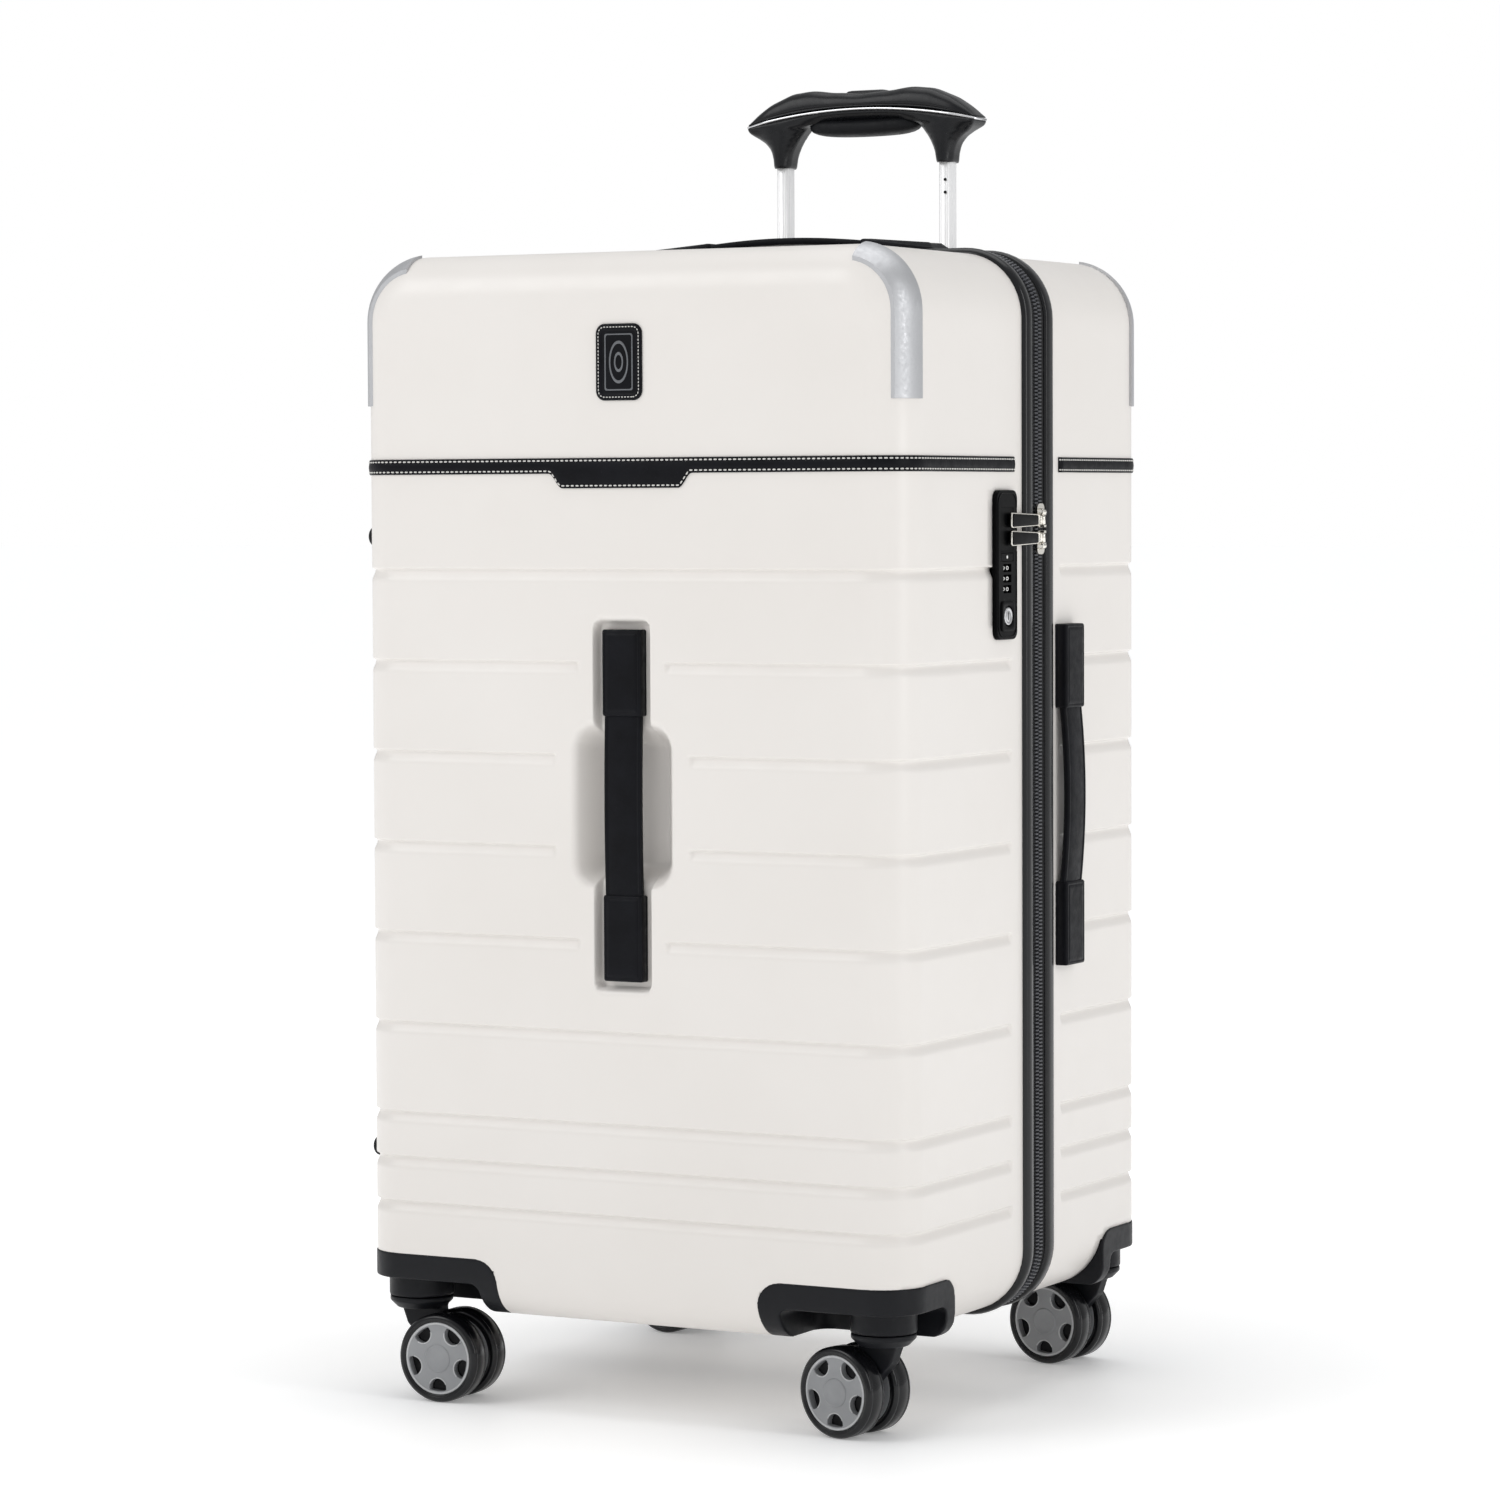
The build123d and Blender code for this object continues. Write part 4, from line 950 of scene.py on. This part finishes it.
def tag_ring(inset, reach=0.0):
    """A zip pull's outline: wide and square at the tip, narrower at the pin."""
    points = []
    corners = ((4.6, 3.9, 1.6, 0), (-40.0, 5.1, 2.0, 90), (-40.0, -5.1, 2.0, 180), (4.6, -3.9, 1.6, 270))
    for u, v, r, start in corners:
        u = u - reach if u > 0 else u
        cu, cv = u - r if u > 0 else u + r, v - r if v > 0 else v + r
        for k in range(6):
            a = radians(start + 18 * k)
            points.append((cu + max(0.2, r - inset) * cos(a), cv + max(0.2, r - inset) * sin(a)))
    return points


def zip_pulls():
    """The two zip sliders, each with its arch and its hanging pull."""
    for tag, z, up in (("upper", 595.5, 1), ("lower", 583.5, -1)):
        place = Place((210.5, 0, z), Y, Z)
        levels = [(0.35, 0.0), (0.0, 0.35), (0.0, 1.45), (0.2, 1.85), (0.5, 2.0), (0.8, 1.85), (0.85, 1.5),
                  (1.9, 1.45)]
        tag_shape = Build().rings([[place(a, b, h) for a, b in tag_ring(d)] for d, h in levels])
        eye = Place((212.2, 9.0, z), X, Y)
        tag_shape.lathe(eye, [
            (1.15, -2.9), (1.3, -3.0), (1.6, -2.8), (1.6, 2.8), (1.3, 3.0), (1.15, 2.9)], 20, loop=True)
        neck = Place((210.6, 7.0, z), Y, Z)
        tag_shape.stack(neck, [(1.6, 2.9, 0.3, 0.0), (1.6, 2.9, 0.3, 1.6), (1.3, 2.6, 0.3, 2.0)])
        tag_shape.make(f"zip_pull_{tag}_plate", f"zip_puller_{tag}", NICKEL, [f"zip_puller_{tag}"])
        inlay = Build().rings([[place(a, b, h) for a, b in tag_ring(d, 2.6)]
                               for d, h in ((0.9, 1.3), (0.9, 1.95), (1.2, 2.2), (1.8, 2.25))])
        inlay.make(f"zip_pull_{tag}_inlay", f"zip_puller_{tag}", LOCK)
        refined(f"zip_slider_{tag}", f"zip_slider_{tag}_plate", f"zip_slider_{tag}", NICKEL, 0.45, 3)
        arch = []
        for k in range(13):
            t = pi * k / 12
            along = z + up * (2.4 + 4.0 * (1 - cos(t)) / 2 + 0.8)
            centre = Vector((210.2 + 3.4 * sin(t) ** 0.6, SPLIT_Y - 1.5, along))
            side = Vector((cos(t) * 0.7, 0, sin(t) * 0.7 * up))
            if k in (0, 12):
                side = Z * (0.7 * (-up if k == 0 else up))
            arch.append([tuple(centre + Y * (2.6 * cos(q)) + Vector((0.85 * sin(q), 0, 0)) + side * sin(q))
                         for q in (2 * pi * j / 12 for j in range(12))])
        Build().rings(arch).make(f"zip_slider_{tag}_bridge", f"zip_slider_{tag}", NICKEL)


lock()
zip_pulls()


# --- pull handle ---


def seam_z(x):
    """The height at which the grip's covers meet: an arc through the ends and the middle."""
    rise, span = 10.0, 91.0
    r = (span * span + rise * rise) / (2 * rise)
    return 888.0 - r + sqrt(max(0.0, r * r - x * x))


def humps_z(x):
    """The grip's top line: two humps and a shallow dip between them."""
    stops = ((0.0, 899.6), (20.0, 900.9), (40.0, 902.9), (55.0, 901.6), (72.0, 894.6), (83.0, 887.4),
             (91.0, 880.2))
    t = abs(x)
    for (x0, z0), (x1, z1) in zip(stops, stops[1:]):
        if t <= x1:
            k = (t - x0) / (x1 - x0)
            return z0 + (z1 - z0) * (smooth(k) if x0 in (0.0, 20.0) or x1 == 55.0 else k)
    return stops[-1][1]


def grip_depth(x, middle):
    """Half the grip's depth from front to back; it draws in towards the ends."""
    return middle * (1 - 0.28 * smooth((abs(x) - 70) / 22) ** 1.5)


def grip():
    """The pull handle's grip: two covers, a bright line between them, a soft pad and the release button."""
    rings = []
    for x in [-90.9, -90.0, -88.0] + spread(-85, 85, 3.4) + [88.0, 90.0, 90.9]:
        low = seam_z(x) + 0.9
        high = max(low + 0.6, humps_z(x))
        deep = grip_depth(x, 13.4)
        rings.append([(x, GRIP_Y + deep * squared(cos(t), 0.62), low + (high - low) * sin(t) ** 0.62)
                      for t in (pi * k / 28 for k in range(29))])
    soften(Build().rings(rings).make("grip_upper_moulding", "trolley_upper", GRIP, ["grip_top_cover"]))
    rounded_stems(melted("grip_bottom_cover", "grip_lower_moulding", "trolley_upper", GRIP, 0.8, 30))
    trim = []
    for x in [-91.0, -90.4] + spread(-88, 88, 4.0) + [90.4, 91.0]:
        deep = grip_depth(x, 13.85)
        section = [(-deep, -0.3), (-deep, 0.5), (-deep + 0.3, 0.85)]
        section += [(-a, h) for a, h in reversed(section)] + [(deep - 0.3, -0.6), (-deep + 0.3, -0.6)]
        trim.append([(x, GRIP_Y + a, seam_z(x) + h) for a, h in section])
    Build().rings(trim).make("grip_bright_line", "trolley_upper", CHROME, ["grip_trim"])
    rings = []
    for x in [-43.4, -43.0, -42.0] + spread(-40, 40, 4) + [42.0, 43.0, 43.4]:
        size = sqrt(max(0.02, 1 - (x / 43.8) ** 6))
        middle = 875.2 + 1.56 * (x / 43.0) ** 2
        deep, high = 11.2 * size, 6.2 * size
        rings.append([(x, GRIP_Y + deep * squared(cos(t), 0.7), middle + high * squared(sin(t), 0.8))
                      for t in (2 * pi * k / 24 for k in range(24))])
    Build().rings(rings).make("grip_soft_pad", "trolley_upper", SOFT, ["grip_pad"])
    spot = Place((0, 170.0, 899.6), X, Y)
    button = Build().stack(spot, [
        (16.6, 5.6, 4.0, -5.0), (16.6, 5.6, 4.0, 0.6), (16.2, 5.2, 3.8, 1.6), (15.2, 4.4, 3.4, 2.3),
        (13.0, 3.0, 2.4, 2.7), (9.0, 1.2, 1.0, 2.85)])
    button.make("release_button_cap", "release_button", GRIP, ["grip_button"])
    lip = ((0.0, -1.0), (0.0, 0.9), (0.25, 1.15), (0.6, 1.15), (0.7, 0.9), (0.7, -1.0))
    lip_ring = Build().stack(spot, [(17.6 - inset, 6.6 - inset, 4.6, h) for inset, h in lip], loop=True)
    lip_ring.make("release_button_frame", "trolley_upper", GRIP)


def rounded_stems(item):
    """Rounds the lower cover's two stems: their sides draw in to an oval section."""
    mesh = bpy.data.meshes.new_from_object(item.evaluated_get(bpy.context.evaluated_depsgraph_get()))
    item.modifiers.clear()
    item.data = mesh
    points = [v.co / MM for v in mesh.vertices]
    places = [(int(p.z), p.x > 0, abs(p.x) > TUBE_X) for p in points]
    reach = {}
    for p, key in zip(points, places):
        reach[key] = max(reach.get(key, 3.0), abs(abs(p.x) - TUBE_X))
    for v, p, key in zip(mesh.vertices, points, places):
        away = min(1.0, abs(abs(p.x) - TUBE_X) / min(reach[key], 34.0))
        oval = sqrt(1 - 0.82 * away ** 2)
        share = smooth((seam_z(p.x) - 1.5 - p.z) / 9)
        v.co.y = (GRIP_Y + (p.y - GRIP_Y) * (1 - share * (1 - oval))) * MM
    mesh.polygons.foreach_set("use_smooth", [True] * len(mesh.polygons))
    step = item.modifiers.new("Even", "SMOOTH")
    step.factor, step.iterations = 0.5, 6


def soften(item):
    """Rounds a coarse form by one level of subdivision."""
    step = item.modifiers.new("Soft", "SUBSURF")
    step.levels = step.render_levels = 1


def grooved(half_x, half_y):
    """An oval tube's outline with two shallow grooves down its front and back."""
    ring = []
    for t in (2 * pi * k / 96 for k in range(96)):
        x, y = half_x * squared(cos(t), 0.72), half_y * squared(sin(t), 0.72)
        dip = 0.35 * clamp(1 - abs(abs(x) - half_x * 0.42) / 0.55) if abs(sin(t)) > 0.6 else 0.0
        ring.append((x, y - dip * (1 if sin(t) > 0 else -1)))
    return ring


def tubes():
    """The pull handle's sliding tubes, its two rivets and the cup that the tubes go into."""
    for stage, half_x, half_y, low, high in (
            ("upper", 4.9, 7.65, 440.0, 860.0), ("middle", 6.2, 8.95, 300.0, 719.5)):
        levels = [(0.94, low), (1.0, low + 0.5), (1.0, high - 0.5), (0.94, high)]
        if stage == "middle":
            levels += [(5.0 / half_x, high), (5.0 / half_x, high - 8)]
        shape, outline_xy = Build(), grooved(half_x, half_y)
        for side in (-1, 1):
            shape.rings([[(side * TUBE_X + x * size, GRIP_Y + y * size, z) for x, y in outline_xy]
                         for size, z in levels])
        shape.make(f"trolley_{stage}_profile", f"trolley_{stage}", TUBE, [f"trolley_{stage}_tubes"])
    rivets = Build()
    for z in (836.0, 827.0):
        spot = Place((TUBE_X + 1.6, GRIP_Y - 7.72, z), X, Z)
        rivets.lathe(spot, [(1.1, -0.4), (1.1, 0.12), (0.85, 0.2), (0.3, 0.1)], 20)
    rivets.make("tube_rivets", "trolley_upper", BLACK_AND_SHADE)
    refined("trolley_cup", "trolley_cup_moulding", "rear_case", SATIN, 0.8, 3)


grip()
tubes()


# --- casters ---


CASTER_X, CASTER_Y, TRAIL, AXLE_Z = 176.5, 160.7, 24.0, 30.0
WHEEL_IN, WHEEL_FACE = 5.0, 20.9
TYRE_SECTION = [
    (24.6, 0.3), (27.4, 0.0), (28.9, 0.5), (29.7, 1.5), (29.95, 2.6), (30.0, 3.4), (29.75, 3.75), (30.0, 4.1),
    (30.0, 13.0), (29.75, 13.35), (30.0, 13.7), (29.9, 14.6), (29.4, 15.7), (28.4, 16.6), (27.2, 17.0),
    (26.4, 16.95), (26.0, 16.6), (25.4, 16.6), (24.6, 16.2)]
RING_SECTION = [(24.55, -1.0), (24.55, 0.15), (24.2, 0.5), (23.5, 0.55), (23.0, 0.25), (22.9, -1.0)]
DISC_SECTION = [(9.6, -0.6), (9.6, 0.35), (9.2, 0.7), (8.2, 0.85), (7.9, 0.7), (4.0, 0.75), (1.0, 0.8)]
LIP_SECTION = [(6.3, -0.5), (6.35, 0.3), (6.7, 0.55), (7.15, 0.4), (7.3, -0.5)]
# The dark disc on each hub pocket's floor, painted shade: (radius, height) pairs.
POCKET_SHADE_SECTION = [(6.25, -6.0), (6.25, -4.3), (5.2, -4.9), (2.0, -5.2)]


def raised(section, by):
    """A section of (radius, height) pairs moved outwards along the axle."""
    return [(r, by + h) for r, h in section]


def caster(corner, sx, sy, turn):
    """One caster: its fork and two wheels; each hub face has a ring, a disc and five half-round pockets, each
    with a dark disc of painted shade on its floor.
    """
    out = Place((sx * CASTER_X, sy * CASTER_Y, 0), X, Y).turned(turn)
    hub_at = Vector(out(TRAIL, 0, AXLE_Z))
    melted(f"{corner}_caster_fork", f"{corner}_fork_moulding", f"{corner}_caster", SATIN, 0.7, 6)
    tyres, rings, discs, shade = Build(), Build(), Build(), Build()
    for side in (-1, 1):
        axle = Place(hub_at, out.u, Z if side < 0 else -Z)
        tyres.lathe(axle, raised(TYRE_SECTION, WHEEL_IN), 96, loop=True)
        rings.lathe(axle, raised(RING_SECTION, WHEEL_FACE), 72, loop=True)
        discs.lathe(axle, raised(DISC_SECTION, WHEEL_FACE), 48)
        for k in range(5):
            a = radians(90 * side + 72 * k)
            eye = Place(Vector(axle(20.0 * cos(a), 20.0 * sin(a), 0)), axle.u, axle.v)
            turns = [a + radians(112 + 136 * step / 14) for step in range(15)]
            rings.rings([[eye(r * cos(q), r * sin(q), h) for r, h in raised(LIP_SECTION, WHEEL_FACE)]
                         for q in turns])
            # A black disc on each pocket's floor: painted shade in the pocket.
            shade.lathe(eye, raised(POCKET_SHADE_SECTION, WHEEL_FACE), 30)
    body = f"{corner}_wheels"
    tyres.make(f"{corner}_tyre_pair", body, TYRE, [f"{corner}_caster_tyres"])
    refined(f"{corner}_caster_hubs", f"{corner}_hub_pair", body, HUB, 0.5, 2)
    rings.make(f"{corner}_hub_rims", body, HUB_EDGE)
    discs.make(f"{corner}_hub_discs", body, HUB)
    shade.make(f"{corner}_hub_pocket_shade", body, BLACK_AND_SHADE)


for half in ("front", "rear"):
    melted(f"{half}_caster_housings", f"{half}_wheel_housings", f"{half}_case", SATIN, 0.9, 10)
for corner, (sx, sy, turn) in CORNERS.items():
    caster(corner, sx, sy, turn)


# --- inside: lining, packing straps and the hinge fabric ---

LINING_GAP = 5.6
MOUTH_Y = {"front": -1.7, "rear": 21.7}
HOUSING_BLOCK = ((96.0, 200.9), (114.2, 185.1), (67.6, 104.4))
CUP_Y, CUP_Z, CUP_DEEP, CUP_HIGH = 143.6, 711.0, 41.5, 57.4


def clear_fittings(p, half, side):
    """Moves a point of the lining clear of the casters, handle pocket, lock and pull handle."""
    x, y, z = p.x, p.y * side, p.z
    (x_in, x_out), (y_in, y_out), (low, high) = HOUSING_BLOCK
    push = min((abs(x) - x_in) / (x_out - x_in), (y - y_in) / (y_out - y_in), (high - z) / (high - low))
    if push > 0:
        x -= (1 if x > 0 else -1) * push * (x_out - x_in)
        y -= push * (y_out - y_in)
        z += push * (high - low)
    if half == "front":
        y += (min(y, 159.2) - y) * smooth(box_edge(x, z - HANDLE_Z, 46.0, 132.0, 8) / 5)
        if x > 0:
            x += (min(x, 184.0) - x) * smooth(min(63.5 - y, y - 21.0, z - 511.0, 621.0 - z) / 4)
    else:
        y += (min(y, 149.4) - y) * smooth((96.0 - abs(x)) / 5)
        if z > CUP_Z and y > CUP_Y and abs(x) < 106:
            push = min((y - CUP_Y) / CUP_DEEP, (z - CUP_Z) / CUP_HIGH) * smooth((106 - abs(x)) / 4)
            y -= push * CUP_DEEP
            z -= push * CUP_HIGH
    return Vector((x, y * side, z))


def lining(half, side):
    """The quilted lining of one half, drawn over the fittings' blocks and hemmed at the mouth."""
    front = half == "front"
    rows = [-FLAT_H, FLAT_H] + spread(-FLAT_H + FLAT_R, FLAT_H - FLAT_R, 9.0)
    rows += [s * (FLAT_H - FLAT_R + t) for s in (-1, 1) for t in ARC_STEPS]
    cols = [-FLAT_W, FLAT_W] + spread(-FLAT_W + FLAT_R, FLAT_W - FLAT_R, 8.0)
    cols += [s * (FLAT_W - FLAT_R + t) for s in (-1, 1) for t in ARC_STEPS]
    cols += [s * t for s in (-1, 1) for t in (41, 44, 47, 90, 93, 96, 98, 101, 104, 107)]
    arc = [radians(a) for a in (11, 22, 33, 45, 56, 67, 78, 90)]
    levels = [(EDGE_R * sin(a), side * (HALF_D - EDGE_R * (1 - cos(a)))) for a in arc]
    mouth = MOUTH_Y[half]
    wall_ys = spread(*sorted((mouth, side * (HALF_D - EDGE_R))), 8.0)
    if not front:
        wall_ys.reverse()
    levels += [(EDGE_R, y) for y in wall_ys[1:]]
    verts, faces = skin(side, merged(rows, 0.8), merged(cols, 0.8), levels, lambda x, y, z, nz: LINING_GAP)
    points = []
    for v in verts:
        p = Vector(v)
        slack = 1.3 + noise.noise(p * 0.022) * 1.0 + noise.noise(p * 0.06) * 0.45
        quilt = 0.9 * (abs(sin(p.z * 0.045 + p.x * 0.045)) ** 6 + abs(sin(p.z * 0.045 - p.x * 0.045)) ** 6)
        ease = smooth(abs(p.y - mouth) / 20)
        if abs(p.y) > 184:
            inward = Vector((0, -side, 0))
        elif abs(p.x) / (HALF_W - LINING_GAP) > abs(p.z - MID_Z) / (HALF_H - LINING_GAP):
            inward = Vector((-1 if p.x > 0 else 1, 0, 0))
        else:
            inward = Vector((0, 0, -1 if p.z > MID_Z else 1))
        points.append(tuple(clear_fittings(p, half, side) + inward * (max(0.0, slack - quilt * 0.6) * ease)))
    if not front:
        faces = [tuple(reversed(face)) for face in faces]
    item = piece(f"{half}_lining_cloth", points, faces, f"{half}_case", LINING, [f"{half}_lining"])
    wall = item.modifiers.new("Cloth", "SOLIDIFY")
    wall.thickness, wall.offset = 1.0 * MM, -1
    section = ((0.2, -5.3), (0.2, -8.3), (1.2, -8.8), (9.0, -8.6), (10.0, -8.0), (10.0, -5.3))
    hem = [(mouth + side * deep, h) for deep, h in section]
    edge = band(f"{half}_lining_binding", hem, f"{half}_case", WEBBING)


def packing_straps(half, y_mid):
    """Crossed webbing straps and their buckle."""
    body = f"{half}_case"
    side = -1 if half == "front" else 1
    edge = ((-12.5, 0.25), (-11.8, 0.55), (-6.0, 0.6), (0, 0.62), (6.0, 0.6), (11.8, 0.55), (12.5, 0.25))
    section = [(-12.5, -0.25)] + list(edge) + [(a, -h) for a, h in reversed(edge[1:])]
    webbing, tacks = Build(), []
    for tilt, lift in ((56, -0.7), (-56, 0.7)):
        along = Vector((cos(radians(tilt)), 0, sin(radians(tilt))))
        across = Vector((-along.z, 0, along.x))
        rings = []
        for t in spread(-342.0, 342.0, 6.0):
            centre = Vector((0, y_mid + lift * clamp(1.6 - abs(t) / 120, 0, 1), MID_Z)) + along * t
            rings.append([tuple(centre + across * a + Y * h) for a, h in section])
        webbing.rings(rings)
        for end in (-1, 1):
            spot = Place(Vector((0, y_mid, MID_Z)) + along * (end * 338.0), along, across * -side)
            webbing.stack(spot, [
                (11.0, 13.4, 1.5, -1.2), (11.6, 14.0, 1.5, -0.6), (11.6, 14.0, 1.5, 0.6),
                (11.0, 13.4, 1.5, 1.2)])
            box = ((-8, -10), (8, -10), (8, 10), (-8, 10), (-8, -10), (8, 10))
            tacks.append([(Vector(spot(a, b, 1.25)), spot.n) for a, b in box])
    webbing.make(f"{half}_strap_webbing", body, WEBBING, [f"{half}_packing_straps"])
    stitches(f"{half}_strap_tacks", tacks, body, 2.2, 0.9, 0.3)
    buckle = Build()
    face = Place((0, y_mid, MID_Z), X * -side, Z)
    for centre in (16.8, -16.8):
        buckle.stack(face, [
            (21.5, 14.8, 7.0, -3.9), (22.6, 15.6, 7.0, -3.2), (22.8, 15.6, 7.0, 0.0), (22.6, 15.6, 7.0, 3.0),
            (21.8, 14.8, 6.6, 3.7), (20.5, 13.6, 6.0, 3.9), (18.5, 11.6, 4.0, 3.3), (12.0, 7.6, 3.0, 3.1)],
            (0, centre))
    buckle.stack(face, [(6.0, 3.6, 2.5, 3.0), (6.0, 3.6, 2.5, 3.7), (5.2, 2.8, 2.2, 4.0)])
    buckle.make(f"{half}_strap_buckle", body, SATIN)


def hinge_fabric():
    """The woven strip down the hinge side."""
    ys = spread(-0.5, 20.5, 1.5)
    section = [(-208.75, y) for y in reversed(ys)] + [(-207.85, y) for y in ys]
    rings = []
    for z in spread(HINGE_LOW + 0.8, HINGE_HIGH - 0.8, 6.0):
        rings.append([(x + (0.10 * sin(z * 0.9) if x < -208.3 else 0), y, z) for x, y in section])
    shape = Build().rings(rings)
    item = face_out(piece("hinge_fabric", shape.verts, shape.faces, None, TAPE, ["hinge_gusset"]))
    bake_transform(item)


lining("front", -1)
lining("rear", 1)
packing_straps("front", -7.0)
packing_straps("rear", 27.0)
hinge_fabric()


# --- camera, floor and light ---


def camera():
    """The camera: 2.8 degrees down, from 28 degrees to the right of straight ahead."""
    data = bpy.data.cameras.new("camera")
    data.sensor_width = 36.0
    data.lens = 120.2
    data.clip_end = 100.0
    item = linked("camera", data)
    forward = Vector((-0.47398, 0.87916, -0.04918)).normalized()
    right = forward.cross(Vector((0, 0, 1))).normalized()
    up = right.cross(forward)
    roll = -0.00438
    at = Vector((1.63385, -3.04343, 0.60740))
    right, up = right * cos(roll) + up * sin(roll), up * cos(roll) - right * sin(roll)
    item.matrix_world = Matrix((*zip(right, up, -forward, at), (0, 0, 0, 1)))
    bpy.context.scene.camera = item


def floor():
    """A wide white floor that runs out to the pale surroundings; it glows though it is no lamp, painted light
    that is weaker near the case, which paints the floor darker round the case.
    """
    mesh = bpy.data.meshes.new("studio_floor")
    mesh.from_pydata([(-60, -60, 0), (60, -60, 0), (60, 60, 0), (-60, 60, 0)], [], [(0, 1, 2, 3)])
    s = Shader("studio_floor_painted_glow", (0.97, 0.97, 0.97), 0.5)
    s.rough(s.noise(2.0), 0.45, 0.55)
    s.set(Emission_Color=(1, 1, 1, 1))
    distance = s.nodes.new("ShaderNodeVectorMath")
    distance.operation = "LENGTH"
    s.links.new(s.coords, distance.inputs[0])
    # Painted light: the floor's glow rises from 0.17 near the case to 0.50 far out, so the floor around the
    # case is painted darker.
    painted_glow = s.ramp(distance.outputs["Value"], 0.16, 1.0, 0.17, 0.50)
    s.links.new(painted_glow, s.bsdf.inputs["Emission Strength"])
    mesh.materials.append(s.mat)
    linked("studio_floor", mesh)


def area(name, place, aim, size, power):
    """A rectangular light at a place in metres, aimed at a point."""
    data = bpy.data.lights.new(name, "AREA")
    data.shape = "RECTANGLE"
    data.size, data.size_y = size
    data.energy = power
    item = linked(name, data)
    item.location = place
    item.rotation_euler = (Vector(aim) - Vector(place)).to_track_quat("-Z", "Y").to_euler()


def studio():
    """White surroundings, dimmer to the object than to the camera, and three lights."""
    world = bpy.data.worlds.new("studio_world")
    world.use_nodes = True
    nodes, links = world.node_tree.nodes, world.node_tree.links
    room = nodes["Background"]
    room.inputs["Color"].default_value = (0.98, 0.99, 1, 1)
    room.inputs["Strength"].default_value = 0.52
    white = nodes.new("ShaderNodeBackground")
    white.inputs["Strength"].default_value = 1.0
    white.inputs["Color"].default_value = (1, 1, 1, 1)
    path, mix = nodes.new("ShaderNodeLightPath"), nodes.new("ShaderNodeMixShader")
    links.new(path.outputs["Is Camera Ray"], mix.inputs["Fac"])
    links.new(room.outputs["Background"], mix.inputs[1])
    links.new(white.outputs["Background"], mix.inputs[2])
    links.new(mix.outputs["Shader"], nodes["World Output"].inputs["Surface"])
    bpy.context.scene.world = world
    area("key_light", (-2.0, -2.6, 2.7), (0, 0, 0.55), (2.0, 2.0), 36)
    area("side_light", (3.6, -0.6, 1.6), (0, 0, 0.4), (0.7, 2.6), 26)
    area("top_light", (0.0, 0.2, 3.4), (0, 0, 0.4), (2.5, 2.5), 30)
    bpy.context.scene.view_settings.view_transform = "Standard"


camera()
floor()
studio()
